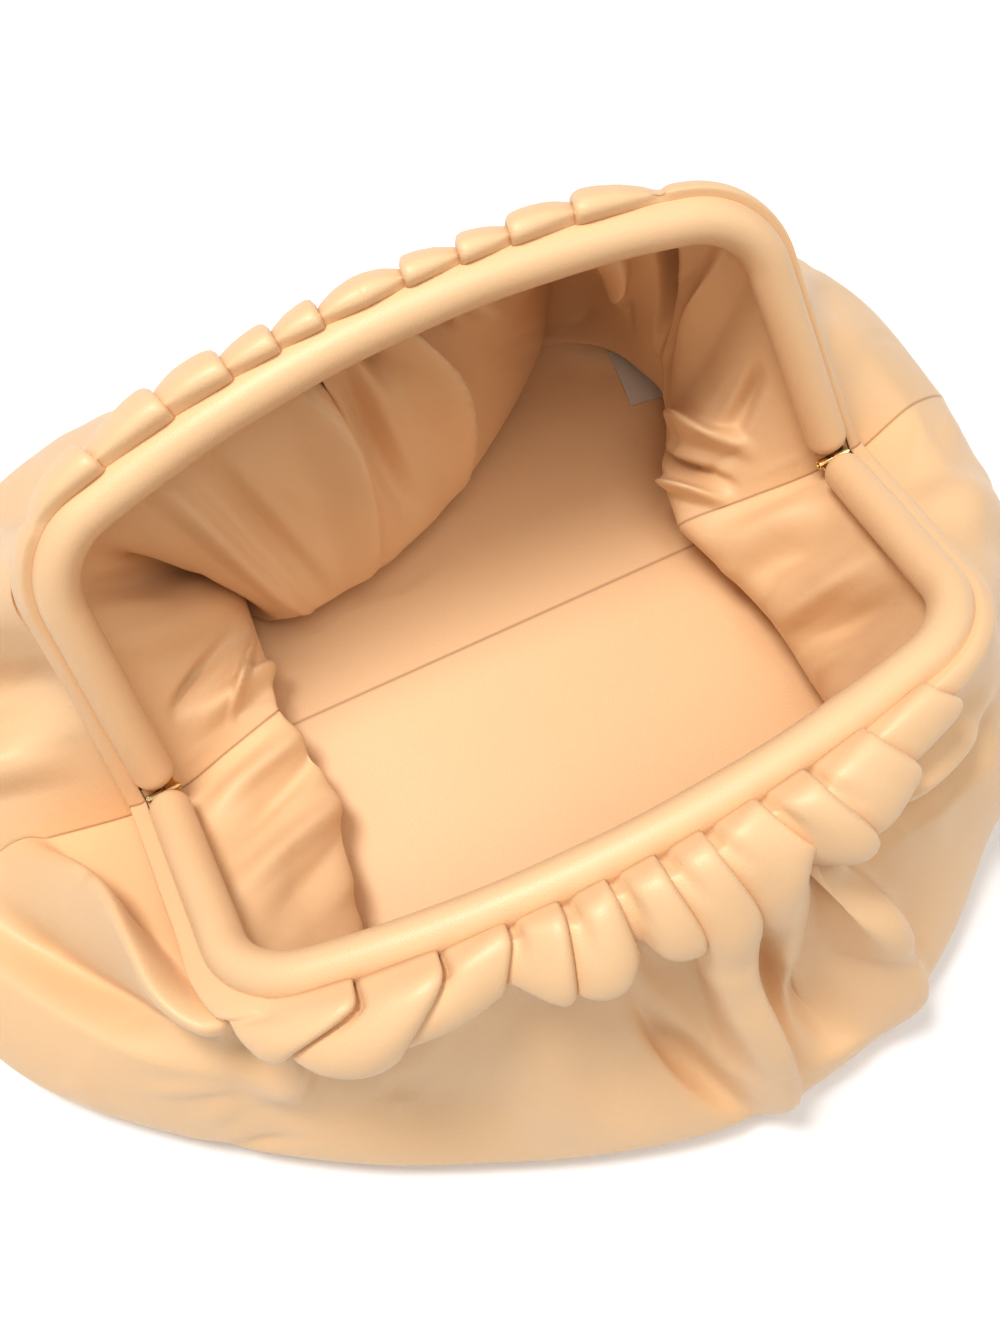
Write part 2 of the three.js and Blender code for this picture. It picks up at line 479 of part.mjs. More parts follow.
// The front and back panels of a bag, each as two facing grids: the side away from the inside and the
// side towards it. The panels are worked out as one ring, so that their edges match at the seams, and
// then parted by the clearance.
function bagPanels({ pointAt, pushAt, front, back, downs, outset, inset }) {
  const places = [
    ...front.map((share) => ({ side: -1, share })),
    ...back.slice(1, -1).reverse().map((share) => ({ side: 1, share })),
  ];
  const smooth = places.map(({ side, share }) => downs.map((down) => pointAt(side, share, down)));
  const outward = ringNormals(smooth, downs);
  const around = smooth.length;
  const ring = smooth.map((column, i) => {
    const { side, share } = places[i];
    const [before, after] = [smooth[(i + around - 1) % around], smooth[(i + 1) % around]];
    return column.map((point, j) => {
      const { out, along } = pushAt(side, share, downs[j]);
      const ahead = after[j].clone().sub(before[j]).normalize();
      return point.clone().addScaledVector(outward[i][j], out).addScaledVector(ahead, -side * along);
    });
  });
  const normals = ringNormals(ring, downs);
  const moved = (point, normal, distance) => point.clone().addScaledVector(normal, distance);
  const offset = (distance) =>
    ring.map((column, i) => column.map((point, j) => moved(point, normals[i][j], distance)));
  const panel = (grid, side) => {
    const middle = front.length - 1;
    const picked = side < 0 ? grid.slice(0, middle + 1) : [...grid.slice(middle), grid[0]];
    return picked.map((column, i) =>
      column.map((point, j) => {
        const onSeam = i === 0 || i === picked.length - 1 || j === downs.length - 1;
        return onSeam ? point.clone().add(vec(0, (side * clearance) / 2, 0)) : point;
      }),
    );
  };
  const [away, toward] = [offset(outset), offset(inset)];
  return [-1, 1].map((side) => wallGeometry(panel(away, side), panel(toward, side)));
}

function solidGeometry(points, triangles) {
  const geometry = new THREE.BufferGeometry();
  const coordinates = points.flatMap((p) => [p.x, p.y, p.z]);
  geometry.setAttribute("position", new THREE.Float32BufferAttribute(coordinates, 3));
  geometry.setIndex(triangles);
  geometry.computeVertexNormals();
  return geometry;
}

// A closed wall between two facing grids of points
function wallGeometry(away, toward) {
  const [columns, rows] = [away.length, away[0].length];
  const points = [...away.flat(), ...toward.flat()];
  const id = (layer, i, j) => (layer * columns + i) * rows + j;
  const triangles = [];
  const quad = (a, b, c, d) => triangles.push(a, b, c, a, c, d);
  for (let i = 0; i < columns - 1; i += 1) {
    for (let j = 0; j < rows - 1; j += 1) {
      quad(id(0, i, j), id(0, i, j + 1), id(0, i + 1, j + 1), id(0, i + 1, j));
      quad(id(1, i, j), id(1, i + 1, j), id(1, i + 1, j + 1), id(1, i, j + 1));
    }
    quad(id(0, i, 0), id(0, i + 1, 0), id(1, i + 1, 0), id(1, i, 0));
    quad(id(0, i + 1, rows - 1), id(0, i, rows - 1), id(1, i, rows - 1), id(1, i + 1, rows - 1));
  }
  for (let j = 0; j < rows - 1; j += 1) {
    const i = columns - 1;
    quad(id(0, 0, j + 1), id(0, 0, j), id(1, 0, j), id(1, 0, j + 1));
    quad(id(0, i, j), id(0, i, j + 1), id(1, i, j + 1), id(1, i, j));
  }
  return solidGeometry(points, triangles);
}

const evenShares = (count) => Array.from({ length: count + 1 }, (_, i) => i / count);
const stretch = (from, to, steps) => evenShares(steps).slice(1).map((t) => lerp(from, to, t));

// Shares along a bow where the outer bag has a column: at every pleat's corners, and evenly beside them
function outerColumns() {
  const armEnd = bow.arm / (2 * bow.length);
  const [first, last] = [pleatEdges[0], pleatEdges[pleatEdges.length - 1]];
  const left = [0, ...stretch(0, armEnd, armSteps), ...stretch(armEnd, first, leftCornerSteps)];
  const right = [...stretch(last, 1 - armEnd, rightCornerSteps), ...stretch(1 - armEnd, 1, armSteps)];
  const pleats = pleatEdges.slice(0, -1).flatMap((edge, i) =>
    pleatPhases.map((phase) => lerp(edge, pleatEdges[i + 1], phase)),
  );
  return [...left, ...pleats.slice(1), last, ...right];
}

// Shares along a bow where the lining has a column: at both ends and every fold, and evenly between them
function liningColumns(folds) {
  const marks = [0, ...folds.map((fold) => fold.at), 1];
  const between = (i) => {
    const steps = Math.ceil((marks[i + 1] - marks[i]) / liningStep);
    return stretch(marks[i], marks[i + 1], steps);
  };
  return [0, ...marks.slice(1).flatMap((_, i) => between(i))];
}

// A padded bow: rings along its centre line, which shrink to a point at each rounded end
function bowGeometry(side) {
  const tip = endGap / (2 * bow.length);
  const capEnd = (endGap + capLength) / (2 * bow.length);
  const armEnd = bow.arm / (2 * bow.length);
  const cornerEnd = (bow.arm + bow.cornerLength) / (2 * bow.length);
  const rings = evenShares(capRings).slice(1).map((t) => {
    const turn = (t * Math.PI) / 2;
    return { share: lerp(capEnd, tip, Math.cos(turn)), radius: tubeRadius * Math.sin(turn) };
  });
  const full = [
    ...stretch(capEnd, armEnd, armSteps),
    ...stretch(armEnd, cornerEnd, cornerSteps),
    ...stretch(cornerEnd, 0.5, railSteps),
  ];
  rings.push(...full.map((share) => ({ share, radius: tubeRadius })));
  const other = rings.slice(0, -1).reverse().map(({ share, radius }) => ({ share: 1 - share, radius }));
  const all = [...rings, ...other];
  const points = all.flatMap(({ share, radius }) => {
    const { centre, out, rise } = bowPlace(side, share);
    return Array.from({ length: tubeSides }, (_, k) => {
      const turn = (2 * Math.PI * k) / tubeSides;
      const spoke = out.clone().multiplyScalar(Math.cos(turn)).addScaledVector(rise, Math.sin(turn));
      return centre.clone().addScaledVector(spoke, radius);
    });
  });
  const tips = [tip, 1 - tip].map((share) => bowPlace(side, share).centre);
  const triangles = [];
  const flip = side > 0;
  const triangle = (a, b, c) => triangles.push(...(flip ? [a, c, b] : [a, b, c]));
  const last = (all.length - 1) * tubeSides;
  for (let k = 0; k < tubeSides; k += 1) {
    const next = (k + 1) % tubeSides;
    for (let i = 0; i < last; i += tubeSides) {
      triangle(i + k, i + tubeSides + k, i + tubeSides + next);
      triangle(i + k, i + tubeSides + next, i + next);
    }
    triangle(points.length, k, next);
    triangle(points.length + 1, last + next, last + k);
  }
  return solidGeometry([...points, ...tips], triangles);
}

// Booleans: a closed three.js geometry as a solid, and back
function toSolid(geometry) {
  const bare = geometry.clone();
  bare.deleteAttribute("normal");
  bare.deleteAttribute("uv");
  const merged = mergeVertices(bare);
  const vertProperties = new Float32Array(merged.attributes.position.array);
  const triVerts = new Uint32Array(merged.index.array);
  return new wasm.Manifold(new wasm.Mesh({ numProp: 3, vertProperties, triVerts }));
}

function fromSolid(solid) {
  const { vertProperties, triVerts } = solid.getMesh();
  const geometry = new THREE.BufferGeometry();
  geometry.setAttribute("position", new THREE.BufferAttribute(vertProperties, 3));
  geometry.setIndex(new THREE.BufferAttribute(triVerts, 1));
  geometry.computeVertexNormals();
  return geometry;
}

// The place of one half of a hinge: x along the barrel, y along its bow's arm and z square to both
function hingeMatrix(side, end) {
  const { out, rise, along } = bowPlace(side, end);
  const away = along.multiplyScalar(end === 0 ? 1 : -1);
  const axis = out.clone().multiplyScalar(end === 0 ? -1 : 1);
  const place = vec((end - 0.5) * frameWidth, 0, 0).applyMatrix4(stand);
  return new THREE.Matrix4().makeBasis(axis, away, axis.clone().cross(away)).setPosition(place);
}

const barrelX = vec(1, 0, 0).transformDirection(stand);

// A round bar along the hinge line, from one distance to another from a hinge's middle
function hingeBar(end, radius, from, to) {
  const bar = new THREE.CylinderGeometry(radius, radius, to - from, barSides);
  const turn = new THREE.Quaternion().setFromUnitVectors(vec(0, 1, 0), barrelX);
  const place = vec((end - 0.5) * frameWidth + (from + to) / 2, 0, 0).applyMatrix4(stand);
  return bar.applyMatrix4(new THREE.Matrix4().compose(place, turn, vec(1, 1, 1)));
}

// The leaf of one half of a hinge, grown by a margin where it is used to cut its slot
function leafGeometry(side, end, margin) {
  const reach = endGap + leafReach + margin;
  const leaf = new THREE.BoxGeometry(leafWidth + 2 * margin, reach, leafThickness + 2 * margin);
  leaf.translate((side * barrelLength) / 4, reach / 2, 0);
  return leaf.applyMatrix4(hingeMatrix(side, end));
}

function knuckleGeometry(side, end) {
  const inner = (side * clearance) / 2;
  const outer = (side * barrelLength) / 2;
  const barrel = hingeBar(end, barrelRadius, Math.min(inner, outer), Math.max(inner, outer));
  const bore = hingeBar(end, pinRadius + clearance, -barrelLength, barrelLength);
  return fromSolid(toSolid(barrel).add(toSolid(leafGeometry(side, end, 0))).subtract(toSolid(bore)));
}

function slottedBow(side) {
  const slots = [0, 1].map((end) => toSolid(leafGeometry(side, end, clearance)));
  return fromSolid(slots.reduce((solid, slot) => solid.subtract(slot), toSolid(bowGeometry(side))));
}

function labelGeometry() {
  return new THREE.BoxGeometry(labelWidth, labelLength, labelThickness);
}

const leather = new THREE.MeshStandardMaterial({ color: 0xe6b67f, roughness: 0.5, metalness: 0 });
const liningLeather = new THREE.MeshStandardMaterial({ color: 0xe0ad76, roughness: 0.55, metalness: 0 });
const brass = new THREE.MeshStandardMaterial({ color: 0xd9b45a, roughness: 0.25, metalness: 1 });
const labelCloth = new THREE.MeshStandardMaterial({ color: 0xdfdcd6, roughness: 0.8, metalness: 0 });

const group = new THREE.Group();

function addMesh(name, geometry, material) {
  const mesh = new THREE.Mesh(geometry, material);
  mesh.name = name;
  group.add(mesh);
  return mesh;
}

for (const [name, side] of Object.entries({ front: -1, back: 1 })) {
  addMesh(`frame_bow_${name}`, slottedBow(side), leather.clone());
}
for (const [name, end] of Object.entries({ left: 0, right: 1 })) {
  addMesh(`hinge_${name}_leaf_front`, knuckleGeometry(-1, end), brass.clone());
  addMesh(`hinge_${name}_leaf_back`, knuckleGeometry(1, end), brass.clone());
  const half = barrelLength / 2 + 2 * clearance;
  addMesh(`hinge_${name}_pin`, hingeBar(end, pinRadius, -half, half), brass.clone());
}

const [outerFront, outerBack] = bagPanels({
  pointAt: outerPoint,
  pushAt: outerPush,
  front: outerColumns(),
  back: outerColumns(),
  downs: outerDowns,
  outset: 0,
  inset: -wall,
});
addMesh("outer_front_panel", outerFront, leather.clone());
addMesh("outer_back_panel", outerBack, leather.clone());

const [liningFront, liningBack] = bagPanels({
  pointAt: liningPoint,
  pushAt: liningPush,
  front: liningColumns(liningFrontFolds),
  back: liningColumns(liningBackFolds),
  downs: liningDowns,
  outset: liningWall,
  inset: 0,
});
addMesh("lining_front_panel", liningFront, liningLeather.clone());
addMesh("lining_back_panel", liningBack, liningLeather.clone());

const label = addMesh("label", labelGeometry(), labelCloth.clone());
const labelFloor = wall + clearance + liningWall + clearance + labelThickness / 2;
label.position.set(labelWide * bodyRight, seamY + labelDeep * bodyBack, labelFloor);
label.rotation.z = degToRad(labelTurn);

export default group;
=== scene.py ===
# %% [markdown]
# # A soft leather pouch bag, open on a table
#
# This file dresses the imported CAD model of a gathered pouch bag. The CAD gives the frame and where
# every piece lies. Here each piece gets its fine shape and its material: first the camera, the floor and
# the light, then the materials, then the leather, the padded bows, the hinges and the label.

import math

import bpy
import numpy as np
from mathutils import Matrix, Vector


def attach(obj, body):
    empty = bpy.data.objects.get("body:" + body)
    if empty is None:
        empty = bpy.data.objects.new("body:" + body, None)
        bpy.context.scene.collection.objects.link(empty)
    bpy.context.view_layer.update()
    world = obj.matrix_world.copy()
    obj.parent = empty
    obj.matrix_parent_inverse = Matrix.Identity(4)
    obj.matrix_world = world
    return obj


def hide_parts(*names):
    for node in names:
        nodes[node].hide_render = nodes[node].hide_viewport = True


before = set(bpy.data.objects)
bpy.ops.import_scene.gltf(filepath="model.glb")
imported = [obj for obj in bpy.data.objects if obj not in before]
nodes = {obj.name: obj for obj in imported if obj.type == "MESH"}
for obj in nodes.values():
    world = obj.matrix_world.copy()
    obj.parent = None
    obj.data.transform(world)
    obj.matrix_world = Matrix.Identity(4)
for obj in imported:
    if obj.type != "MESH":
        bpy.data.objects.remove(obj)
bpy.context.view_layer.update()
MM = 0.001
print("the CAD has", len(nodes), "nodes")

# %% [markdown]
# ## The camera
#
# The photograph looks steeply down from the front left. The camera's place and focal length come from a
# fit of the frame's outline, so both bows and both hinges fall where they do in the picture.

# %% Camera
CAMERA_PLACE = Vector((-0.0917, -0.1860, 0.5383))
CAMERA_AZIMUTH = math.radians(-25.96)
CAMERA_ELEVATION = math.radians(68.48)
CAMERA_LENS = 39.39
SENSOR_WIDTH = 36
NEAR_CLIP = 0.02

camera_data = bpy.data.cameras.new("camera")
camera_data.lens = CAMERA_LENS
camera_data.sensor_width = SENSOR_WIDTH
camera_data.clip_start = NEAR_CLIP
camera = bpy.data.objects.new("camera", camera_data)
away = Vector(
    (
        math.sin(CAMERA_AZIMUTH) * math.cos(CAMERA_ELEVATION),
        -math.cos(CAMERA_AZIMUTH) * math.cos(CAMERA_ELEVATION),
        math.sin(CAMERA_ELEVATION),
    )
)
camera.location = CAMERA_PLACE
camera.rotation_mode = "QUATERNION"
camera.rotation_quaternion = (-away).to_track_quat("-Z", "Y")
bpy.context.scene.collection.objects.link(camera)
bpy.context.scene.camera = camera
print("the camera is", round(CAMERA_PLACE.z * 1000), "mm above the table")

# %% [markdown]
# ## Floor and light
#
# The picture has a white table and soft, bright studio light. Four round area lights do it: `key` and `top`
# hang above the bag and are bright and near, so that the folds have sides, and `fill` and `side` are wide
# and weak and open the shadows from the left and the right. Each row gives a light's place, its size and
# its power. A gamma below 1 deepens the middle tones, as the picture's own do.

# %% Floor, lights and world
FLOOR_SIZE = 6.0
FLOOR_COLOUR = (0.97, 0.97, 0.97, 1)
FLOOR_ROUGHNESS = 0.9
LIGHTS = {
    "key": ((-0.35, 0.28, 1.5), 0.5, 16),
    "fill": ((-0.9, -0.9, 1.0), 1.4, 2),
    "top": ((0.1, -0.35, 1.6), 0.9, 7),
    "side": ((1.2, -0.5, 0.9), 1.2, 3),
}
WORLD_COLOUR = (1.0, 1.0, 1.0, 1)
WORLD_STRENGTH = 0.34
GAMMA = 0.8


def plain_floor():
    mesh = bpy.data.meshes.new("floor")
    half = FLOOR_SIZE / 2
    corners = [(-half, -half, 0), (half, -half, 0), (half, half, 0), (-half, half, 0)]
    mesh.from_pydata(corners, [], [(0, 1, 2, 3)])
    floor = bpy.data.objects.new("floor", mesh)
    bpy.context.scene.collection.objects.link(floor)
    material = bpy.data.materials.new("floor")
    material.use_nodes = True
    shader = material.node_tree.nodes["Principled BSDF"]
    shader.inputs["Base Color"].default_value = FLOOR_COLOUR
    shader.inputs["Roughness"].default_value = FLOOR_ROUGHNESS
    mesh.materials.append(material)
    return floor


def soft_light(name, place, size, power):
    light = bpy.data.lights.new(name, "AREA")
    light.shape = "DISK"
    light.size = size
    light.energy = power
    thing = bpy.data.objects.new(name, light)
    thing.location = place
    thing.rotation_mode = "QUATERNION"
    thing.rotation_quaternion = (-Vector(place)).to_track_quat("-Z", "Y")
    bpy.context.scene.collection.objects.link(thing)


plain_floor()
for name, (place, size, power) in LIGHTS.items():
    soft_light(name, place, size, power)
world = bpy.data.worlds.new("studio")
world.use_nodes = True
world.node_tree.nodes["Background"].inputs["Color"].default_value = WORLD_COLOUR
world.node_tree.nodes["Background"].inputs["Strength"].default_value = WORLD_STRENGTH
bpy.context.scene.world = world
bpy.context.scene.view_settings.view_transform = "Standard"
bpy.context.scene.view_settings.gamma = GAMMA
print("lights:", ", ".join(LIGHTS))

# %% [markdown]
# ## Node groups
#
# Two surface effects are used by more than one material, so each is a node group with named sockets.
# Grain gives the fine pebble of soft leather with wide, faint waves under it, as a height for a bump
# node. Patina mixes two tones in slow clouds. Both work from the object's own coordinates, in metres, so
# a scale of 900 makes pebbles of about a millimetre.

# %% Helpers for node trees
NODE_STEP, NODE_DROP = 220, 180


def new_group(name, inputs, outputs):
    group = bpy.data.node_groups.new(name, "ShaderNodeTree")
    for label, kind, value in inputs:
        socket = group.interface.new_socket(label, in_out="INPUT", socket_type=kind)
        if value is not None:
            socket.default_value = value
    for label, kind in outputs:
        group.interface.new_socket(label, in_out="OUTPUT", socket_type=kind)
    return group, group.nodes.new("NodeGroupInput"), group.nodes.new("NodeGroupOutput")


def place_nodes(tree):
    """Sets the nodes of a tree out in a row, so that it can be read in the editor."""
    for i, node in enumerate(tree.nodes):
        node.location = (i * NODE_STEP, -(i % 3) * NODE_DROP)


def noise(tree, vector, scale, detail):
    node = tree.nodes.new("ShaderNodeTexNoise")
    node.inputs["Scale"].default_value = scale
    node.inputs["Detail"].default_value = detail
    tree.links.new(vector, node.inputs["Vector"])
    return node.outputs["Fac"]


def maths(tree, operation, a, b):
    node = tree.nodes.new("ShaderNodeMath")
    node.operation = operation
    for socket, value in zip(node.inputs, (a, b)):
        if isinstance(value, (int, float)):
            socket.default_value = value
        else:
            tree.links.new(value, socket)
    return node.outputs[0]


# %% Groups for grain and tone
PEBBLE_TOP = 0.25
CREASE_DETAIL, CLOUD_DETAIL = 3, 2


def grain_group():
    inputs = [
        ("Vector", "NodeSocketVector", None),
        ("Grain Scale", "NodeSocketFloat", 900.0),
        ("Crease Scale", "NodeSocketFloat", 45.0),
        ("Crease Height", "NodeSocketFloat", 0.5),
    ]
    group, start, end = new_group("leather grain", inputs, [("Height", "NodeSocketFloat")])
    cells = group.nodes.new("ShaderNodeTexVoronoi")
    cells.feature = "DISTANCE_TO_EDGE"
    group.links.new(start.outputs["Vector"], cells.inputs["Vector"])
    group.links.new(start.outputs["Grain Scale"], cells.inputs["Scale"])
    pebble = maths(group, "MINIMUM", cells.outputs["Distance"], PEBBLE_TOP)
    crease = group.nodes.new("ShaderNodeTexNoise")
    crease.inputs["Detail"].default_value = CREASE_DETAIL
    group.links.new(start.outputs["Vector"], crease.inputs["Vector"])
    group.links.new(start.outputs["Crease Scale"], crease.inputs["Scale"])
    wide = maths(group, "MULTIPLY", crease.outputs["Fac"], start.outputs["Crease Height"])
    group.links.new(maths(group, "ADD", pebble, wide), end.inputs["Height"])
    place_nodes(group)
    return group


def patina_group():
    inputs = [
        ("Vector", "NodeSocketVector", None),
        ("Base", "NodeSocketColor", (0.8, 0.5, 0.2, 1)),
        ("Warm", "NodeSocketColor", (0.7, 0.4, 0.2, 1)),
        ("Scale", "NodeSocketFloat", 14.0),
        ("Strength", "NodeSocketFloat", 0.4),
    ]
    group, start, end = new_group("leather patina", inputs, [("Color", "NodeSocketColor")])
    cloud = group.nodes.new("ShaderNodeTexNoise")
    cloud.inputs["Detail"].default_value = CLOUD_DETAIL
    group.links.new(start.outputs["Vector"], cloud.inputs["Vector"])
    group.links.new(start.outputs["Scale"], cloud.inputs["Scale"])
    amount = maths(group, "MULTIPLY", cloud.outputs["Fac"], start.outputs["Strength"])
    mix = group.nodes.new("ShaderNodeMix")
    mix.data_type = "RGBA"
    group.links.new(amount, mix.inputs["Factor"])
    group.links.new(start.outputs["Base"], mix.inputs["A"])
    group.links.new(start.outputs["Warm"], mix.inputs["B"])
    group.links.new(mix.outputs["Result"], end.inputs["Color"])
    place_nodes(group)
    return group


GRAIN = grain_group()
PATINA = patina_group()
print("groups:", GRAIN.name, "and", PATINA.name)

# %% [markdown]
# ## Materials
#
# The bag is smooth, warm tan leather with a soft sheen. The lining is the same leather with a duller face.
# Seams are darkened as stitched seams are, and the crevices between the gathers and the line where the
# outer bag meets the bows get a painted shade. Both come from one value that the mesh carries at each
# point, because a picture of them would have to be fitted to every fold.

# %% Leather
# The colour and strength of the dark seams and of the painted shade in the crevices and along the bows.
SEAM_AND_SHADE_COLOUR = (0.3, 0.11, 0.035, 1)
SEAM_AND_SHADE_DARKNESS = 0.55
GRAIN_DEPTH = 0.0004
LEATHER_SPECULAR, LEATHER_SHEEN = 0.45, 0.12


def use_group(tree, group, vector, values):
    node = tree.nodes.new("ShaderNodeGroup")
    node.node_tree = group
    tree.links.new(vector, node.inputs["Vector"])
    for name, value in values.items():
        node.inputs[name].default_value = value
    return node


def leather(name, base, warm, roughness, bump):
    material = bpy.data.materials.new(name)
    material.use_nodes = True
    tree = material.node_tree
    shader = tree.nodes["Principled BSDF"]
    where = tree.nodes.new("ShaderNodeTexCoord").outputs["Object"]
    tone = use_group(tree, PATINA, where, {"Base": base, "Warm": warm})
    # Dark seams, and painted shade in the crevices and along the bows, mixed into the leather's tone.
    seam_and_shade = tree.nodes.new("ShaderNodeAttribute")
    seam_and_shade.attribute_name = "seam_and_shade"
    seam_and_shade_mix = tree.nodes.new("ShaderNodeMix")
    seam_and_shade_mix.data_type = "RGBA"
    tree.links.new(maths(tree, "MULTIPLY", seam_and_shade.outputs["Fac"], SEAM_AND_SHADE_DARKNESS), seam_and_shade_mix.inputs["Factor"])
    tree.links.new(tone.outputs["Color"], seam_and_shade_mix.inputs["A"])
    seam_and_shade_mix.inputs["B"].default_value = SEAM_AND_SHADE_COLOUR
    tree.links.new(seam_and_shade_mix.outputs["Result"], shader.inputs["Base Color"])
    grain = use_group(tree, GRAIN, where, {})
    height = tree.nodes.new("ShaderNodeBump")
    height.inputs["Strength"].default_value = bump
    height.inputs["Distance"].default_value = GRAIN_DEPTH
    tree.links.new(grain.outputs["Height"], height.inputs["Height"])
    tree.links.new(height.outputs["Normal"], shader.inputs["Normal"])
    shader.inputs["Roughness"].default_value = roughness
    shader.inputs["Specular IOR Level"].default_value = LEATHER_SPECULAR
    shader.inputs["Sheen Weight"].default_value = LEATHER_SHEEN
    place_nodes(tree)
    return material


TAN = leather("tan leather", (0.84, 0.59, 0.36, 1), (0.79, 0.51, 0.28, 1), 0.42, 0.35)
LINING = leather("lining leather", (0.85, 0.61, 0.38, 1), (0.79, 0.53, 0.3, 1), 0.5, 0.3)
print("leathers:", TAN.name, "and", LINING.name)

# %% [markdown]
# ## Brass and label cloth
#
# The hinges are polished brass that hands have dulled in places: a fine noise makes its roughness uneven.
# The label is a small bare tab of woven cloth. Two crossed waves make the weave.

# %% Brass and label cloth
BRASS_TONE = {"Base": (0.95, 0.78, 0.45, 1), "Warm": (0.8, 0.58, 0.26, 1), "Scale": 300.0}
BRASS_WEAR_SCALE, BRASS_WEAR_DETAIL = 900, 4
BRASS_WEAR, BRASS_ROUGHNESS = 0.25, 0.12
LABEL_TONE = {"Base": (0.78, 0.76, 0.72, 1), "Warm": (0.6, 0.56, 0.5, 1), "Scale": 60.0}
WEAVE_SCALE, WEAVE_STRENGTH, WEAVE_DEPTH = 400, 0.4, 0.0002
LABEL_ROUGHNESS = 0.75


def brass_metal():
    material = bpy.data.materials.new("hinge brass")
    material.use_nodes = True
    tree = material.node_tree
    shader = tree.nodes["Principled BSDF"]
    where = tree.nodes.new("ShaderNodeTexCoord").outputs["Object"]
    mix = use_group(tree, PATINA, where, BRASS_TONE)
    tree.links.new(mix.outputs["Color"], shader.inputs["Base Color"])
    uneven = noise(tree, where, BRASS_WEAR_SCALE, BRASS_WEAR_DETAIL)
    wear = maths(tree, "MULTIPLY", uneven, BRASS_WEAR)
    tree.links.new(maths(tree, "ADD", wear, BRASS_ROUGHNESS), shader.inputs["Roughness"])
    shader.inputs["Metallic"].default_value = 1.0
    place_nodes(tree)
    return material


def label_weave():
    material = bpy.data.materials.new("label cloth")
    material.use_nodes = True
    tree = material.node_tree
    shader = tree.nodes["Principled BSDF"]
    where = tree.nodes.new("ShaderNodeTexCoord").outputs["Object"]
    rows = []
    for direction in ("X", "Y"):
        wave = tree.nodes.new("ShaderNodeTexWave")
        wave.bands_direction = direction
        wave.inputs["Scale"].default_value = WEAVE_SCALE
        tree.links.new(where, wave.inputs["Vector"])
        rows.append(wave.outputs["Fac"])
    height = tree.nodes.new("ShaderNodeBump")
    height.inputs["Strength"].default_value = WEAVE_STRENGTH
    height.inputs["Distance"].default_value = WEAVE_DEPTH
    tree.links.new(maths(tree, "MULTIPLY", *rows), height.inputs["Height"])
    tree.links.new(height.outputs["Normal"], shader.inputs["Normal"])
    mix = use_group(tree, PATINA, where, LABEL_TONE)
    tree.links.new(mix.outputs["Color"], shader.inputs["Base Color"])
    shader.inputs["Roughness"].default_value = LABEL_ROUGHNESS
    place_nodes(tree)
    return material


BRASS = brass_metal()
LABEL = label_weave()
print("hard materials:", BRASS.name, "and", LABEL.name)

# %% [markdown]
# ## The sizes that the looks share with the CAD
#
# This script may not read the CAD's source, so the main sizes are written here again, in millimetres and
# degrees. The frame stands in the same place: its two bows open round the line through the hinges, and
# that line leans towards the left. Where leather leaves a tube is an angle round it: 0 is outward.

# %% Sizes of the frame and the leather
HINGE_SPAN = 270
BOW_DEPTH = 126
ARM_LEAN = 5.5
CORNER_RADIUS = 33
RAIL_RADIUS = 390
TUBE_RADIUS = 7.4
OPEN_ANGLE = 88
HINGE_HEIGHT = 55
FORWARD_LEAN = 13.5
SIDE_LEAN = 6.7
RIM_GAP = -0.4  # below 0: the leather's edge is tucked into the padded tube
BODY_LEFT, BODY_RIGHT = 240, 204
BODY_FRONT, BODY_BACK = 205, 154
SEAM_Y = 17
TOE_INSET = 12
ROLL_REACH = 24
WALL = 1.6
LINING_WALL = 1.4
CLEARANCE = 0.3
BOW_RISE = math.radians(90 - OPEN_ANGLE / 2)
LINING_ANGLE = math.radians(112)
HINGE_ANGLE = math.radians(10)
HINGE_COVER = 0.012  # the share of a bow beside a hinge where the lining's rim turns outward
HINGE_SHARE = 0.1  # and the share where the outer leather turns towards the hinge
CORNER_SHARES = 0.8  # how far out the bottom seam runs, as a share of the bag's reach
print("the hinges are", HINGE_SPAN, "mm apart, and the tubes", 2 * TUBE_RADIUS, "mm thick")

# %% [markdown]
# ## Where a point of a bow lies
#
# A bow is a straight arm, a round corner and half of an arched rail, and then the same mirrored.
# `bow_place` takes a share along the bow, from 0 at the left hinge to 1 at the right one, and gives the
# centre of the padded tube with three directions: outward in the bow's plane, square to the plane, and
# along the tube. It works on whole arrays at once.

# %% Small helpers
NO_LENGTH = 1e-9


def unit(v):
    return v / np.maximum(np.linalg.norm(v, axis=-1, keepdims=True), NO_LENGTH)


def lerp(a, b, t):
    return a + (b - a) * t


def ease(x, low, high):
    t = np.clip((x - low) / (high - low), 0, 1)
    return t * t * (3 - 2 * t)


def turn_x(angle):
    c, s = math.cos(angle), math.sin(angle)
    return np.array([[1, 0, 0], [0, c, -s], [0, s, c]])


def turn_y(angle):
    c, s = math.cos(angle), math.sin(angle)
    return np.array([[c, 0, s], [0, 1, 0], [-s, 0, c]])


# %% Points and directions on a bow
STAND = turn_y(-math.radians(SIDE_LEAN)) @ turn_x(math.radians(FORWARD_LEAN))


def bow_outline():
    """The arm's and the corner's lengths, and the centre of the corner, as in the CAD."""
    lean = math.radians(ARM_LEAN)
    along = np.array([-math.sin(lean), math.cos(lean)])
    out = np.array([math.cos(lean), math.sin(lean)])
    hinge = np.array([HINGE_SPAN / 2, 0.0])
    rail = np.array([0.0, BOW_DEPTH - RAIL_RADIUS])
    start = hinge - out * CORNER_RADIUS - rail
    ahead = start @ along
    arm = -ahead + math.sqrt(ahead**2 - start @ start + (RAIL_RADIUS - CORNER_RADIUS) ** 2)
    corner = start + along * arm + rail
    rail_from = math.atan2(*(corner - rail)[::-1])
    turn = CORNER_RADIUS * (rail_from - lean)
    length = arm + turn + RAIL_RADIUS * (math.pi / 2 - rail_from)
    return lean, along, hinge, rail, corner, arm, turn, length


LEAN, ARM_ALONG, HINGE, RAIL, CORNER, ARM, TURN, HALF_BOW = bow_outline()


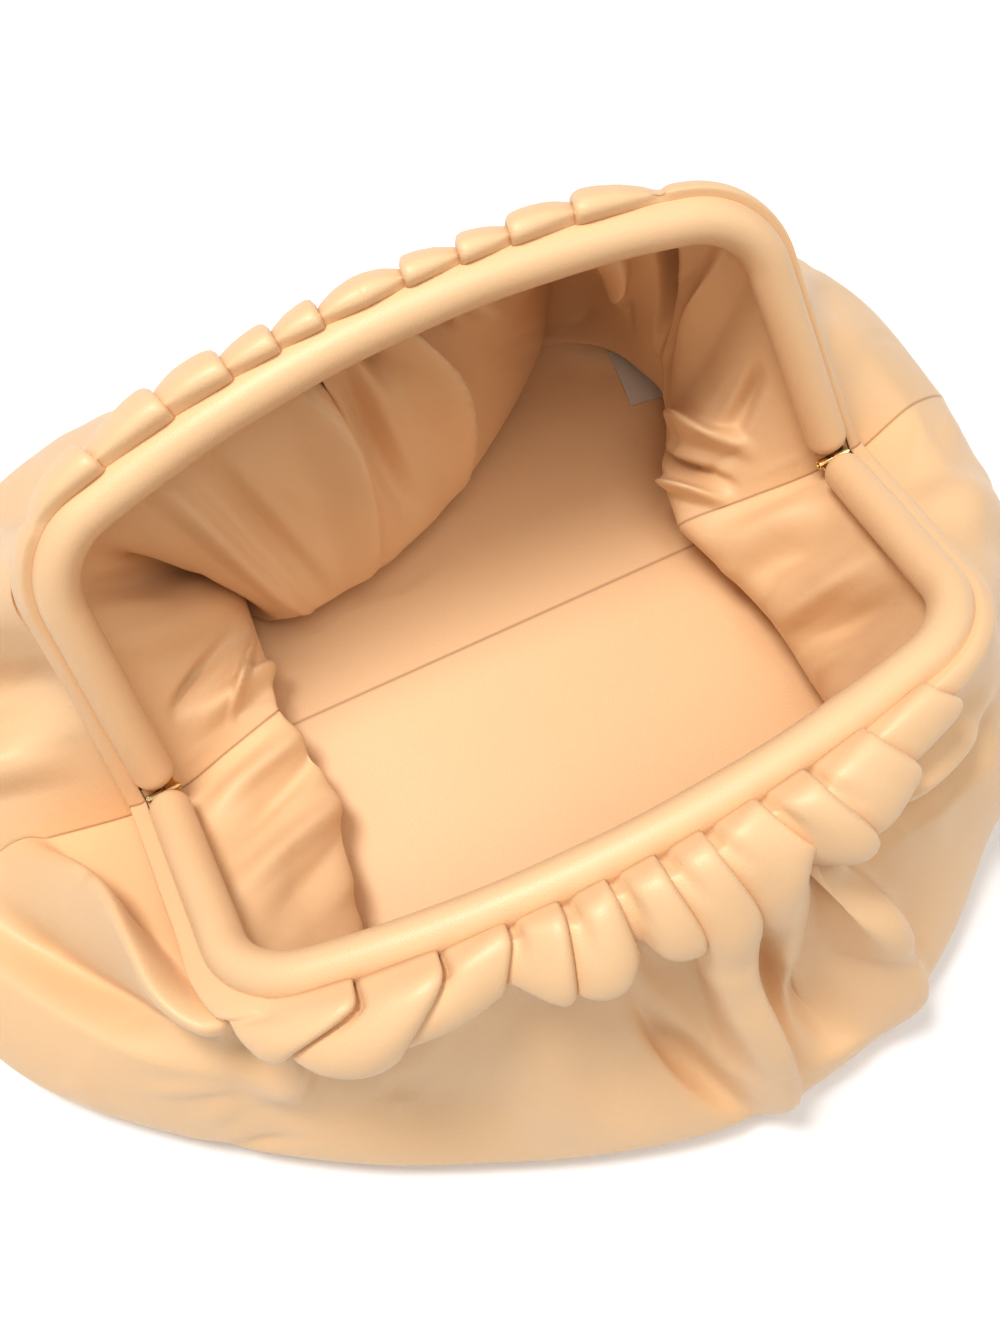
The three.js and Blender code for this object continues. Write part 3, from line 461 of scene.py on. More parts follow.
def bow_place(side, share):
    share = np.asarray(share, float)
    s = 2 * HALF_BOW * np.minimum(share, 1 - share)
    past = s - ARM
    corner_angle = LEAN + past / CORNER_RADIUS
    rail_angle = math.pi / 2 - (HALF_BOW - s) / RAIL_RADIUS
    on_corner = past < TURN
    angle = np.where(past <= 0, LEAN, np.where(on_corner, corner_angle, rail_angle))
    out2 = np.stack([np.cos(angle), np.sin(angle)], -1)
    radius = np.where(on_corner, CORNER_RADIUS, RAIL_RADIUS)[..., None]
    middle = np.where(on_corner[..., None], CORNER, RAIL)
    straight = HINGE + s[..., None] * ARM_ALONG
    centre2 = np.where((past <= 0)[..., None], straight, middle + out2 * radius)
    mirror = np.where(share < 0.5, -1, 1)
    c, w = math.cos(BOW_RISE), math.sin(BOW_RISE)
    x, d = mirror * centre2[..., 0], centre2[..., 1]
    ox, od = mirror * out2[..., 0], out2[..., 1]
    centre = np.stack([x, side * d * c, d * w], -1) @ STAND.T + [0, 0, HINGE_HEIGHT]
    out = np.stack([ox, side * od * c, od * w], -1) @ STAND.T
    rise = np.broadcast_to(STAND @ [0, -side * w, c], out.shape)
    along = np.stack([od, -side * ox * c, -ox * w], -1) @ STAND.T
    return centre, out, rise, along


def leather_start(side, share, angle):
    """Where leather leaves a bow and in which direction, at an angle round the bow from outward."""
    centre, out, rise, along = bow_place(side, share)
    own = ease(np.minimum(share, 1 - share), 0, HINGE_SHARE)[..., None]
    hinge_out = np.where(share < 0.5, -1, 1)[..., None] * (STAND @ [1, 0, 0])
    sideways = unit(lerp(hinge_out, out, own))
    down = -unit(lerp(STAND @ [0, 0, 1], rise, own))
    leave = unit(sideways * np.cos(angle)[..., None] + down * np.sin(angle)[..., None])
    mitre = np.sqrt(1 - np.sum(leave * along, -1, keepdims=True) ** 2)
    return centre, centre + leave * (TUBE_RADIUS + RIM_GAP) / mitre, leave


print("half of a bow is", round(HALF_BOW, 1), "mm long, its arm", round(ARM, 1))

# %% [markdown]
# ## The leather's sections
#
# The outer bag hangs from the outside of the bows, and the lining from their undersides. A table has a row
# for each of a few places along a bow, and the places between come from smooth curves. For the outer bag
# `wide` and `deep` place its widest line, `belly` is that line's height, `full` bulges the wall between
# it and the gathers, and `under` is where the column meets the bottom seam.

# %% Tables of the outer bag
OUTER_COLUMNS = ["at", "wide", "deep", "belly", "full", "under"]
OUTER_FRONT = [
    [0.0, -1.0, 0.0, 0.34, 0.16, 0.0],
    [0.09, -0.98, 0.2, 0.26, 0.1, 0.04],
    [0.19, -0.88, 0.44, 0.18, 0.02, 0.12],
    [0.29, -0.66, 0.67, 0.15, -0.04, 0.22],
    [0.39, -0.38, 0.86, 0.14, -0.06, 0.37],
    [0.5, 0.0, 1.0, 0.14, -0.06, 0.54],
    [0.61, 0.36, 0.95, 0.16, -0.03, 0.7],
    [0.71, 0.62, 0.77, 0.2, 0.02, 0.82],
    [0.81, 0.84, 0.53, 0.26, 0.08, 0.9],
    [0.91, 0.96, 0.27, 0.36, 0.16, 0.96],
    [1.0, 1.0, 0.0, 0.5, 0.22, 1.0],
]
OUTER_BACK = [
    [0.0, -1.0, 0.0, 0.34, 0.16, 0.0],
    [0.09, -0.97, 0.27, 0.28, 0.06, 0.04],
    [0.19, -0.84, 0.58, 0.24, 0.0, 0.12],
    [0.29, -0.6, 0.85, 0.24, -0.02, 0.22],
    [0.39, -0.32, 0.9, 0.24, -0.04, 0.37],
    [0.5, 0.0, 0.82, 0.24, -0.04, 0.54],
    [0.61, 0.33, 0.88, 0.26, -0.02, 0.7],
    [0.71, 0.58, 0.84, 0.28, 0.0, 0.82],
    [0.81, 0.8, 0.64, 0.3, 0.02, 0.9],
    [0.91, 0.95, 0.37, 0.38, 0.1, 0.96],
    [1.0, 1.0, 0.0, 0.5, 0.22, 1.0],
]
print("outer bag:", len(OUTER_FRONT), "and", len(OUTER_BACK), "columns")

# %% [markdown]
# ## The gathers' tables
#
# `roll` is how far the gathered leather stands out from the bow before it turns back, and `tuck` and
# `drop` say how far back and down it goes. With a negative `tuck` a gather doesn't turn back but runs on
# down the wall as a ridge. Two of the front gathers do.

# %% Tables of the gathers
GATHER_COLUMNS = ["at", "roll", "tuck", "drop"]
GATHER_FRONT = [
    [0.0, 0.28, 0.0, 1.5],
    [0.1, 0.28, 0.0, 1.5],
    [0.2, 0.34, 0.2, 0.9],
    [0.25, 0.7, 0.35, 0.9],
    [0.295, 1.2, 0.5, 0.9],
    [0.34, 1.4, 0.5, 0.95],
    [0.375, 1.0, 0.4, 0.95],
    [0.405, 0.7, 0.35, 0.95],
    [0.44, 1.15, 0.45, 0.95],
    [0.46, 1.15, 0.45, 0.95],
    [0.475, 0.8, 0.4, 0.95],
    [0.487, 1.1, 0.45, 0.95],
    [0.505, 1.15, -0.1, 0.9],
    [0.53, 1.15, -0.2, 0.9],
    [0.558, 0.95, -0.25, 0.9],
    [0.575, 0.75, 0.35, 0.95],
    [0.604, 1.25, 0.3, 0.95],
    [0.65, 0.9, 0.4, 0.95],
    [0.69, 0.6, 0.3, 0.9],
    [0.76, 0.34, 0.2, 0.9],
    [0.88, 0.28, 0.0, 1.4],
    [1.0, 0.28, 0.0, 1.5],
]
GATHER_BACK = [
    [0.0, 0.28, 0.0, 1.5],
    [0.12, 0.28, 0.0, 1.4],
    [0.2, 0.4, 0.1, 0.9],
    [0.31, 0.56, 0.3, 0.9],
    [0.37, 0.62, 0.35, 0.9],
    [0.42, 0.46, 0.25, 0.9],
    [0.5, 0.42, 0.25, 0.9],
    [0.59, 0.4, 0.25, 0.9],
    [0.64, 0.5, 0.3, 0.9],
    [0.7, 0.42, 0.2, 0.9],
    [0.8, 0.32, 0.1, 1.2],
    [0.9, 0.28, 0.0, 1.4],
    [1.0, 0.28, 0.0, 1.5],
]
print("gathers:", len(GATHER_FRONT), "and", len(GATHER_BACK), "columns")

# %% [markdown]
# ## The lining's tables
#
# The lining drops to a `fold`, whose place is `wide`, `deep` and `high`, and turns back under itself to
# the `toe`, a share of the outer bag's reach. The deep apron at the back left is such a fold.

# %% Tables of the lining
LINING_COLUMNS = ["at", "wide", "deep", "high", "toe", "under"]
LINING_FRONT = [
    [0.0, -0.63, 0.0, 0.6, 0.86, 0.0],
    [0.08, -0.59, 0.22, 0.34, 0.84, 0.04],
    [0.16, -0.61, 0.45, 0.28, 0.82, 0.1],
    [0.22, -0.67, 0.72, 0.26, 0.82, 0.16],
    [0.29, -0.68, 0.96, 0.26, 0.82, 0.25],
    [0.39, -0.4, 1.15, 0.28, 0.84, 0.39],
    [0.5, 0.0, 1.2, 0.3, 0.84, 0.54],
    [0.61, 0.36, 1.16, 0.3, 0.84, 0.7],
    [0.7, 0.62, 1.0, 0.28, 0.82, 0.81],
    [0.77, 0.74, 0.78, 0.28, 0.82, 0.87],
    [0.84, 0.74, 0.58, 0.3, 0.82, 0.92],
    [0.92, 0.72, 0.34, 0.34, 0.84, 0.97],
    [1.0, 0.63, 0.0, 0.42, 0.86, 1.0],
]
LINING_BACK = [
    [0.0, -0.63, 0.0, 0.6, 0.86, 0.0],
    [0.08, -0.6, 0.22, 0.32, 0.84, 0.04],
    [0.15, -0.59, 0.5, 0.26, 0.82, 0.1],
    [0.2, -0.6, 0.68, 0.2, 0.82, 0.14],
    [0.25, -0.57, 0.4, 0.12, 0.82, 0.19],
    [0.31, -0.5, 0.27, 0.17, 0.82, 0.26],
    [0.37, -0.34, 0.27, 0.16, 0.84, 0.35],
    [0.44, -0.02, 0.36, 0.16, 0.84, 0.46],
    [0.5, 0.26, 0.53, 0.18, 0.84, 0.54],
    [0.56, 0.53, 0.76, 0.2, 0.84, 0.62],
    [0.61, 0.67, 0.96, 0.2, 0.84, 0.71],
    [0.66, 0.77, 0.9, 0.22, 0.84, 0.78],
    [0.71, 0.8, 0.74, 0.24, 0.82, 0.83],
    [0.76, 0.81, 0.6, 0.26, 0.82, 0.87],
    [0.81, 0.82, 0.48, 0.28, 0.82, 0.91],
    [0.87, 0.75, 0.32, 0.3, 0.82, 0.94],
    [0.92, 0.67, 0.19, 0.34, 0.84, 0.97],
    [1.0, 0.63, 0.0, 0.42, 0.86, 1.0],
]
print("lining:", len(LINING_FRONT), "and", len(LINING_BACK), "columns")

# %% [markdown]
# ## Smooth curves through a few points
#
# `hermite` is the one curve of this file. Its slopes come from each knot's two neighbours. A section of
# leather is the curve through its control points, which lie at the values of `down` in the stations: 0 at
# the bow, 1 at the table and 2 at the bottom seam. The shares say where a control point lies between or
# past its neighbours.

# %% Curves and table look-ups


def pick(values, i):
    return np.take_along_axis(values, i[..., None], -1)[..., 0]


def hermite(xs, ys, x):
    """Values at x of the smooth curve through ys at the knots xs, sample by sample."""
    count = xs.shape[-1]
    i = np.clip(np.sum(x[..., None] > xs[..., 1:-1], -1), 0, count - 2)
    before, after = np.maximum(np.arange(count) - 1, 0), np.minimum(np.arange(count) + 1, count - 1)
    span = (xs[..., after] - xs[..., before])[..., None]
    slopes = (ys[..., after, :] - ys[..., before, :]) / span
    x0, x1 = pick(xs, i), pick(xs, i + 1)
    rows = i[..., None, None]
    y0, y1 = [np.take_along_axis(ys, rows + k, -2)[..., 0, :] for k in (0, 1)]
    m0, m1 = [np.take_along_axis(slopes, rows + k, -2)[..., 0, :] for k in (0, 1)]
    t = np.clip((x - x0) / (x1 - x0), 0, 1)[..., None]
    h = (x1 - x0)[..., None]
    return lerp(y0, y1, t * t * (3 - 2 * t)) + h * t * (1 - t) * ((1 - t) * m0 - t * m1)


def look_up(columns, rows, share):
    """Every column of a table at the given shares, as a dictionary of arrays."""
    table = np.array(rows)
    xs = np.broadcast_to(table[:, 0], share.shape + (len(table),))
    ys = np.broadcast_to(table, share.shape + table.shape)
    return dict(zip(columns, np.moveaxis(hermite(xs, ys, share), -1, 0)))


def curve_point(points, stations, down):
    """The places at `down` on the curves through the control points, listed along axis -2."""
    gaps = np.linalg.norm(np.diff(points, axis=-2), axis=-1)
    lengths = np.concatenate([np.zeros_like(gaps[..., :1]), np.cumsum(gaps, -1)], -1)
    i = np.clip(np.searchsorted(stations[1:-1], down), 0, len(stations) - 2)
    t = (down - stations[i]) / (stations[i + 1] - stations[i])
    return hermite(lengths, points, lerp(pick(lengths, i), pick(lengths, i + 1), t))


# %% Sections of the outer bag and the lining
OUTER_STATIONS = np.array([0, 0.05, 0.12, 0.2, 0.5, 0.86, 1])
LINING_STATIONS = np.array([0, 0.06, 0.28, 0.5, 0.72, 1])
LIP_SHARE, NOSE_SHARE, ROLL_SAG = 0.4, 0.95, 0.28
LINING_START = 0.03 * BOW_DEPTH
TURN_IN, TURN_DOWN = 0.15, 0.75


def body_point(side, row, share, z):
    reach = np.where(row["wide"] < 0, BODY_LEFT, BODY_RIGHT)
    x = share * row["wide"] * reach
    y = SEAM_Y + share * side * row["deep"] * (BODY_FRONT if side < 0 else BODY_BACK)
    return np.stack([x, y, z + 0 * x], -1)


def seam_point(share, z):
    x = lerp(-CORNER_SHARES * BODY_LEFT, CORNER_SHARES * BODY_RIGHT, share)
    return np.stack([x, SEAM_Y + 0 * x, z + 0 * x], -1)


def outer_point(side, share, down, swell=1.0):
    row = look_up(OUTER_COLUMNS, OUTER_FRONT if side < 0 else OUTER_BACK, share)
    gather = look_up(GATHER_COLUMNS, GATHER_FRONT if side < 0 else GATHER_BACK, share)
    centre, rim, leave = leather_start(side, share, 0)
    height = centre[..., 2]
    belly = body_point(side, row, 1, row["belly"] * height)
    inset = 1 - TOE_INSET / np.hypot(belly[..., 0], belly[..., 1] - SEAM_Y)
    toe = body_point(side, row, inset, 0)
    level = unit((belly - rim) * [1, 1, 0])
    roll = (ROLL_REACH * gather["roll"] * swell)[..., None]
    tuck, drop = gather["tuck"][..., None], gather["drop"][..., None]
    up = np.array([0, 0, 1.0])
    lip = rim + leave * LIP_SHARE * roll
    nose = rim + level * NOSE_SHARE * roll - up * ROLL_SAG * roll
    under = rim + level * (NOSE_SHARE - tuck) * roll - up * drop * roll
    middle = lerp(under, belly, 0.5) + up * (row["full"] * height)[..., None]
    points = np.stack([rim, lip, nose, under, middle, belly, toe], -2)
    wall = curve_point(points, OUTER_STATIONS, np.minimum(down, 1))
    flat = lerp(toe, seam_point(row["under"], 0), np.clip(down - 1, 0, 1)[..., None])
    return np.where((down > 1)[..., None], flat, wall)


def lining_point(side, share, down):
    row = look_up(LINING_COLUMNS, LINING_FRONT if side < 0 else LINING_BACK, share)
    outer = look_up(OUTER_COLUMNS, OUTER_FRONT if side < 0 else OUTER_BACK, share)
    floor = WALL + CLEARANCE + LINING_WALL
    beside_hinge = ease(np.minimum(share, 1 - share), HINGE_COVER, 2 * HINGE_COVER)
    angle = lerp(HINGE_ANGLE, LINING_ANGLE, beside_hinge)
    centre, edge, leave = leather_start(side, share, LINING_ANGLE)
    rim = leather_start(side, share, angle)[1]
    toe = body_point(side, outer, row["toe"], floor)
    start = edge + leave * LINING_START
    x, y = 0.5 * row["wide"] * HINGE_SPAN, SEAM_Y + side * row["deep"] * BOW_DEPTH
    fold = np.stack([x, y, row["high"] * centre[..., 2]], -1)
    drop = lerp(start, fold, 0.5)
    turn = lerp(fold, toe, TURN_IN)
    turn[..., 2] = lerp(fold[..., 2], floor, TURN_DOWN)
    points = np.stack([rim, start, drop, fold, turn, toe], -2)
    wall = curve_point(points, LINING_STATIONS, np.minimum(down, 1))
    flat = lerp(toe, seam_point(row["under"], floor), np.clip(down - 1, 0, 1)[..., None])
    return np.where((down > 1)[..., None], flat, wall)


middle = outer_point(-1, np.full(99, 0.5), np.linspace(0, 1, 99))
middle_length = np.linalg.norm(np.diff(middle, axis=0), axis=-1).sum()
print("the front wall is", round(float(middle_length)), "mm long in the middle, without folds")

# %% [markdown]
# ## Folds
#
# A fold is a ridge, or with a negative rise a hollow, that runs in a line over the leather laid flat, from
# (`at`, `down`) to (`to`, `foot`). `spread` is half its width and `rise` its height, as shares of the
# bow's length and depth, and `lean` pushes its crest over to one side. The big ones are read off the
# picture. The small ones come from `creases`, below, with a fixed seed.

# %% Tables of folds
# columns: at, down, to, foot, spread, rise, lean
OUTER_FRONT_FOLDS = [
    [-0.02, 0.5, 0.29, 0.2, 0.034, 0.17, 0.7],
    [0.0, 0.66, 0.28, 0.34, 0.045, -0.12, 0],
    [0.24, 0.12, 0.275, 0.46, 0.024, -0.06, 0],
    [0.27, 0.2, 0.3, 0.6, 0.025, 0.06, 0.5],
    [0.36, 0.4, 0.4, 0.9, 0.05, -0.03, 0],
    [0.42, 0.3, 0.43, 0.8, 0.03, 0.04, 0],
    [0.468, 0.32, 0.512, 0.92, 0.013, -0.07, 0.4],
    [0.495, 0.18, 0.5, 0.62, 0.014, -0.06, 0],
    [0.51, 0.05, 0.52, 0.94, 0.019, 0.13, 0.5],
    [0.54, 0.18, 0.532, 0.62, 0.012, -0.08, 0],
    [0.557, 0.05, 0.615, 0.6, 0.036, 0.115, 0.4],
    [0.6, 0.26, 0.602, 0.96, 0.026, 0.1, 0.5],
    [0.55, 0.34, 0.565, 0.8, 0.02, -0.08, 0],
    [0.59, 0.16, 0.75, 0.44, 0.04, 0.085, 0.3],
    [0.62, 0.3, 0.76, 0.5, 0.032, -0.07, 0],
    [0.7, 0.3, 0.74, 0.9, 0.04, 0.05, 0.4],
    [0.8, 0.3, 0.82, 0.9, 0.05, -0.04, 0],
    [0.9, 0.15, 0.91, 0.8, 0.04, 0.05, 0.3],
]
OUTER_BACK_FOLDS = [
    [0.07, 0.25, 0.07, 0.8, 0.03, 0.06, 0.3],
    [0.13, 0.12, 0.13, 0.85, 0.045, -0.11, 0],
    [0.2, 0.1, 0.21, 0.8, 0.04, 0.08, 0.4],
    [0.27, 0.2, 0.28, 0.8, 0.035, -0.06, 0],
    [0.34, 0.15, 0.35, 0.8, 0.035, 0.06, 0.4],
    [0.42, 0.2, 0.42, 0.85, 0.035, -0.05, 0],
    [0.5, 0.15, 0.49, 0.8, 0.035, 0.06, -0.4],
    [0.57, 0.2, 0.56, 0.85, 0.03, -0.05, 0],
    [0.64, 0.15, 0.63, 0.8, 0.035, 0.06, -0.4],
    [0.72, 0.2, 0.73, 0.8, 0.035, -0.05, 0],
    [0.8, 0.12, 0.82, 0.75, 0.04, 0.06, 0.3],
    [0.9, 0.2, 0.9, 0.8, 0.04, -0.04, 0],
]
LINING_FRONT_FOLDS = [
    [0.04, 0.05, 0.03, 0.55, 0.02, 0.05, 0.4],
    [0.075, 0.1, 0.06, 0.6, 0.02, -0.04, 0],
    [0.12, 0.02, 0.12, 0.6, 0.025, 0.04, 0.3],
    [0.17, 0.1, 0.16, 0.6, 0.03, -0.04, 0],
    [0.25, 0.02, 0.24, 0.5, 0.03, 0.05, 0.3],
    [0.8, 0.02, 0.79, 0.6, 0.03, 0.05, -0.4],
    [0.85, 0.05, 0.86, 0.6, 0.03, -0.06, 0],
    [0.9, 0.02, 0.9, 0.55, 0.025, 0.05, -0.4],
    [0.94, 0.1, 0.94, 0.6, 0.02, -0.04, 0],
    [0.97, 0.05, 0.97, 0.5, 0.02, 0.04, 0],
]
LINING_BACK_FOLDS = [
    [0.04, 0.15, 0.05, 0.6, 0.02, 0.05, 0.4],
    [0.02, 0.3, 0.1, 0.48, 0.01, 0.06, 0.5],
    [0.05, 0.12, 0.1, 0.42, 0.012, -0.05, 0],
    [0.13, 0.02, 0.12, 0.55, 0.03, 0.04, 0],
    [0.18, 0.0, 0.16, 0.5, 0.02, -0.06, 0],
    [0.31, 0.02, 0.32, 0.5, 0.018, 0.05, 0.5],
    [0.35, 0.02, 0.36, 0.55, 0.016, -0.05, 0],
    [0.455, -0.1, 0.385, 0.56, 0.018, 0.1, 0.6],
    [0.44, -0.05, 0.435, 0.24, 0.01, -0.09, 0],
    [0.47, 0.05, 0.43, 0.5, 0.014, -0.07, 0],
    [0.489, -0.05, 0.482, 0.24, 0.01, -0.09, 0],
    [0.525, -0.1, 0.464, 0.56, 0.012, 0.11, 0.8],
    [0.54, -0.05, 0.53, 0.22, 0.012, -0.08, 0],
    [0.58, -0.1, 0.56, 0.3, 0.02, 0.05, 0],
    [0.67, -0.05, 0.7, 0.55, 0.022, 0.09, 0.5],
    [0.705, -0.05, 0.79, 0.52, 0.013, -0.13, 0],
    [0.785, -0.05, 0.84, 0.5, 0.03, 0.07, -0.5],
    [0.86, 0.52, 0.965, 0.2, 0.014, 0.09, 0.5],
    [0.885, 0.58, 0.99, 0.28, 0.012, -0.08, 0],
    [0.93, 0.55, 1.0, 0.32, 0.012, 0.08, 0.4],
    [0.9, 0.1, 0.94, 0.3, 0.02, -0.05, 0],
]
print("folds:", len(OUTER_FRONT_FOLDS + OUTER_BACK_FOLDS), "outside,", end=" ")
print(len(LINING_FRONT_FOLDS + LINING_BACK_FOLDS), "in the lining")

# %% [markdown]
# ## Pleats
#
# A pleat is the leather folded over itself. `PLEAT_EDGES` has the pleats' edges, in shares of the leather
# laid flat. `PLEAT` has one pleat's section: how far through the leather of the pleat, the place on the
# bow, counted in pleats, and the height. The leather rises in a dome to its fold, turns under and goes
# back before the next pleat begins, so that each pleat overlaps its neighbour like a soft roll.

# %% Tables of the pleats
PLEAT_EDGES = np.array([0.245, 0.294, 0.35, 0.397, 0.434, 0.467, 0.501, 0.534, 0.573, 0.61, 0.657, 0.713])
PLEAT_HEIGHT = 7.5
WALL_LENGTH = 200
PLEAT_SWELL = 0.14
PLEAT = np.array(
    [
        [0.0, -0.1, -0.5],
        [0.1, -0.02, -0.3],
        [0.25, 0.18, 0.02],
        [0.45, 0.5, 0.28],
        [0.65, 0.82, 0.42],
        [0.76, 1.0, 0.45],
        [0.82, 1.07, 0.4],
        [0.87, 1.12, 0.26],
        [0.91, 1.13, 0.06],
        [0.945, 1.08, -0.16],
        [0.975, 0.98, -0.36],
        [1.0, 0.9, -0.5],
    ]
)
print("pleats on each bow:", len(PLEAT_EDGES) - 1)


# %% Heights of folds and pleats
RIDGE_FLATNESS = 0.7
PLEAT_START, PLEAT_END = (-0.01, 0.02), (-0.02, 0.01)
# Where in a pleat the painted crevice shade begins and ends.
CREVICE_SHADE_BEFORE, CREVICE_SHADE_AFTER = (0.9, 0.97), (0.0, 0.06)


def hump(x):
    return np.where(np.abs(x) < 1, np.cos(np.clip(x, -1, 1) * math.pi / 2) ** 2, 0)


def fold_rise(folds, share, down):
    """How far the folds push a place out, along the bow and down, in millimetres."""
    out, along, ahead = np.zeros_like(share), np.zeros_like(share), np.zeros_like(share)
    flat_width, flat_length = 2 * HALF_BOW, WALL_LENGTH
    for at, top, to, foot, spread, rise, lean in folds:
        run = np.array([(to - at) * flat_width, (foot - top) * flat_length])
        length = math.hypot(*run)
        run = run / length
        x, y = (share - at) * flat_width, (down - top) * flat_length
        t = (x * run[0] + y * run[1]) / length
        beside = (x * run[1] - y * run[0]) / (spread * flat_width)
        here = rise * BOW_DEPTH * hump(beside) * hump(2 * t - 1) ** RIDGE_FLATNESS
        out = out + here
        along = along + lean * run[1] * here
        ahead = ahead - lean * run[0] * here
    return out, along, ahead


def pleated(u, side):
    """Where leather at u, a share of its flat width, lies along the bow, with its height, its swelling
    and the painted shade of its crevices."""
    count = len(PLEAT_EDGES) - 1
    number = np.clip(np.searchsorted(PLEAT_EDGES, u, side="right") - 1, 0, count - 1)
    start, width = PLEAT_EDGES[number], np.diff(PLEAT_EDGES)[number]
    phase = np.clip((u - start) / width, 0, 1)
    mirrored = (side > 0) & (number > count // 2)
    phase = np.where(mirrored, 1 - phase, phase)
    place = np.interp(phase, PLEAT[:, 0], PLEAT[:, 1])
    height = np.interp(phase, PLEAT[:, 0], PLEAT[:, 2])
    place = np.where(mirrored, 1 - place, place)
    inside = ease(u, PLEAT_EDGES[0] + PLEAT_START[0], PLEAT_EDGES[0] + PLEAT_START[1])
    inside = inside * (1 - ease(u, PLEAT_EDGES[-1] + PLEAT_END[0], PLEAT_EDGES[-1] + PLEAT_END[1]))
    swell = 1 + PLEAT_SWELL * (np.sin(np.clip(phase, 0, 1) * math.pi) ** 0.5 - 0.7) * inside
    crevice_shade = (ease(phase, *CREVICE_SHADE_BEFORE) + 1 - ease(phase, *CREVICE_SHADE_AFTER)) * inside
    return lerp(u, start + place * width, inside), height * inside, swell, crevice_shade


# %% Small random creases
CREASE_AT, CREASE_DOWN = (0.01, 0.99), (0.12, 0.75)
CREASE_LENGTH, CREASE_SLANT = (0.12, 0.35), (-0.05, 0.05)
CREASE_RISE, CREASE_LEAN = (0.35, 0.8), (0, 0.6)


def creases(amount, seed, spreads):
    """Rows of small folds at seeded random places, for leather that has been handled."""
    rng = np.random.default_rng(seed)
    rows = []
    for _ in range(amount):
        at, top = rng.uniform(*CREASE_AT), rng.uniform(*CREASE_DOWN)
        length, spread = rng.uniform(*CREASE_LENGTH), rng.uniform(*spreads)
        rise = rng.choice([-1, 1]) * spread * rng.uniform(*CREASE_RISE)
        to = at + rng.uniform(*CREASE_SLANT)
        rows.append([at, top, to, top + length, spread, rise, rng.uniform(*CREASE_LEAN)])
    return rows


# %% [markdown]
# ## From a ring of columns to a panel
#
# Both bags are made as one closed ring of columns, front and back together, so the two panels meet exactly
# along the side seams and the bottom seam. Each panel is then its own mesh. The seams' dark value at a
# point is 1 on a seam and fades within a millimetre, so columns and rows crowd together there. Pleats and
# folds are raised along the normals of the ring without pleats, because those change slowly.

# %% Panels from grids of points
SEAM_WIDTH = 0.55
SIDE_COLUMNS = np.array([0, 0.0006, 0.0012, 0.002, 0.003])
EVEN_FROM = 0.005
FLAT_ROWS = [1.2, 1.4, 1.6, 1.8, 1.9, 1.95, 1.97, 1.98, 1.985, 1.99, 1.995, 2]


def grid_mesh(name, grid, seam_and_shade, material):
    columns, rows = grid.shape[:2]
    index = np.arange(columns * rows).reshape(columns, rows)
    quads = np.stack([index[:-1, :-1], index[:-1, 1:], index[1:, 1:], index[1:, :-1]], -1)
    mesh = bpy.data.meshes.new(name)
    mesh.from_pydata((grid.reshape(-1, 3) * MM).tolist(), [], quads.reshape(-1, 4).tolist())
    layer = mesh.attributes.new("seam_and_shade", "FLOAT", "POINT")
    layer.data.foreach_set("value", seam_and_shade.reshape(-1).astype(np.float32))
    mesh.shade_smooth()
    mesh.materials.append(material)
    thing = bpy.data.objects.new(name, mesh)
    bpy.context.scene.collection.objects.link(thing)
    return thing


def seam_value(grid):
    """1 on the panel's side and bottom seams, fading with the distance along the leather."""
    across = np.linalg.norm(np.diff(grid, axis=0), axis=-1)
    ahead = np.concatenate([0 * across[:1], np.cumsum(across, 0)])
    side = np.minimum(ahead, ahead[-1] - ahead)
    along = np.linalg.norm(np.diff(grid, axis=1), axis=-1)
    behind = np.concatenate([0 * along[:, :1], np.cumsum(along, 1)], 1)
    bottom = behind[:, -1:] - behind
    return np.exp(-((np.minimum(side, bottom) / SEAM_WIDTH) ** 2))


def shares_with_edges(count):
    """Even shares along a bow, with more of them close to its ends, where the side seams are."""
    even = np.linspace(EVEN_FROM, 1 - EVEN_FROM, count - 2 * len(SIDE_COLUMNS) + 1)
    return np.concatenate([SIDE_COLUMNS, even, 1 - SIDE_COLUMNS[::-1]])


def ring_of(point_at, shares, downs):
    """Columns of points once round the bag: the front from left to right and the back again."""
    grids = []
    for side, picked in ((-1, shares), (1, shares[-2:0:-1])):
        share, down = np.meshgrid(picked, downs, indexing="ij")
        grids.append(point_at(side, share, down))
    return np.concatenate(grids)


def panels(ring, half):
    """The front and the back panel's columns, with the side seams' columns in both."""
    return {-1: ring[: half + 1], 1: np.concatenate([ring[half:], ring[:1]])}


# %% Normals, and moving a ring along them
SIDEWAYS_STEP = 3


def smooth_ring(point_at, shares, downs):
    """Directions out of the bag at each point of the ring without pleats."""
    ring = ring_of(point_at, shares, downs)
    across = np.roll(ring, -1, 0) - np.roll(ring, 1, 0)
    normals = np.cross(np.gradient(ring, axis=1), across)
    normals[:, downs > 1] = [0, 0, -1]
    return unit(normals)


def raised(ring, out, push):
    """The ring with each point moved along its normal, sideways along the bow and down the wall."""
    sideways = unit(np.roll(ring, -SIDEWAYS_STEP, 0) - np.roll(ring, SIDEWAYS_STEP, 0))
    ahead = unit(np.gradient(ring, axis=1))
    return ring + out * push[..., :1] + sideways * push[..., 1:2] + ahead * push[..., 2:]
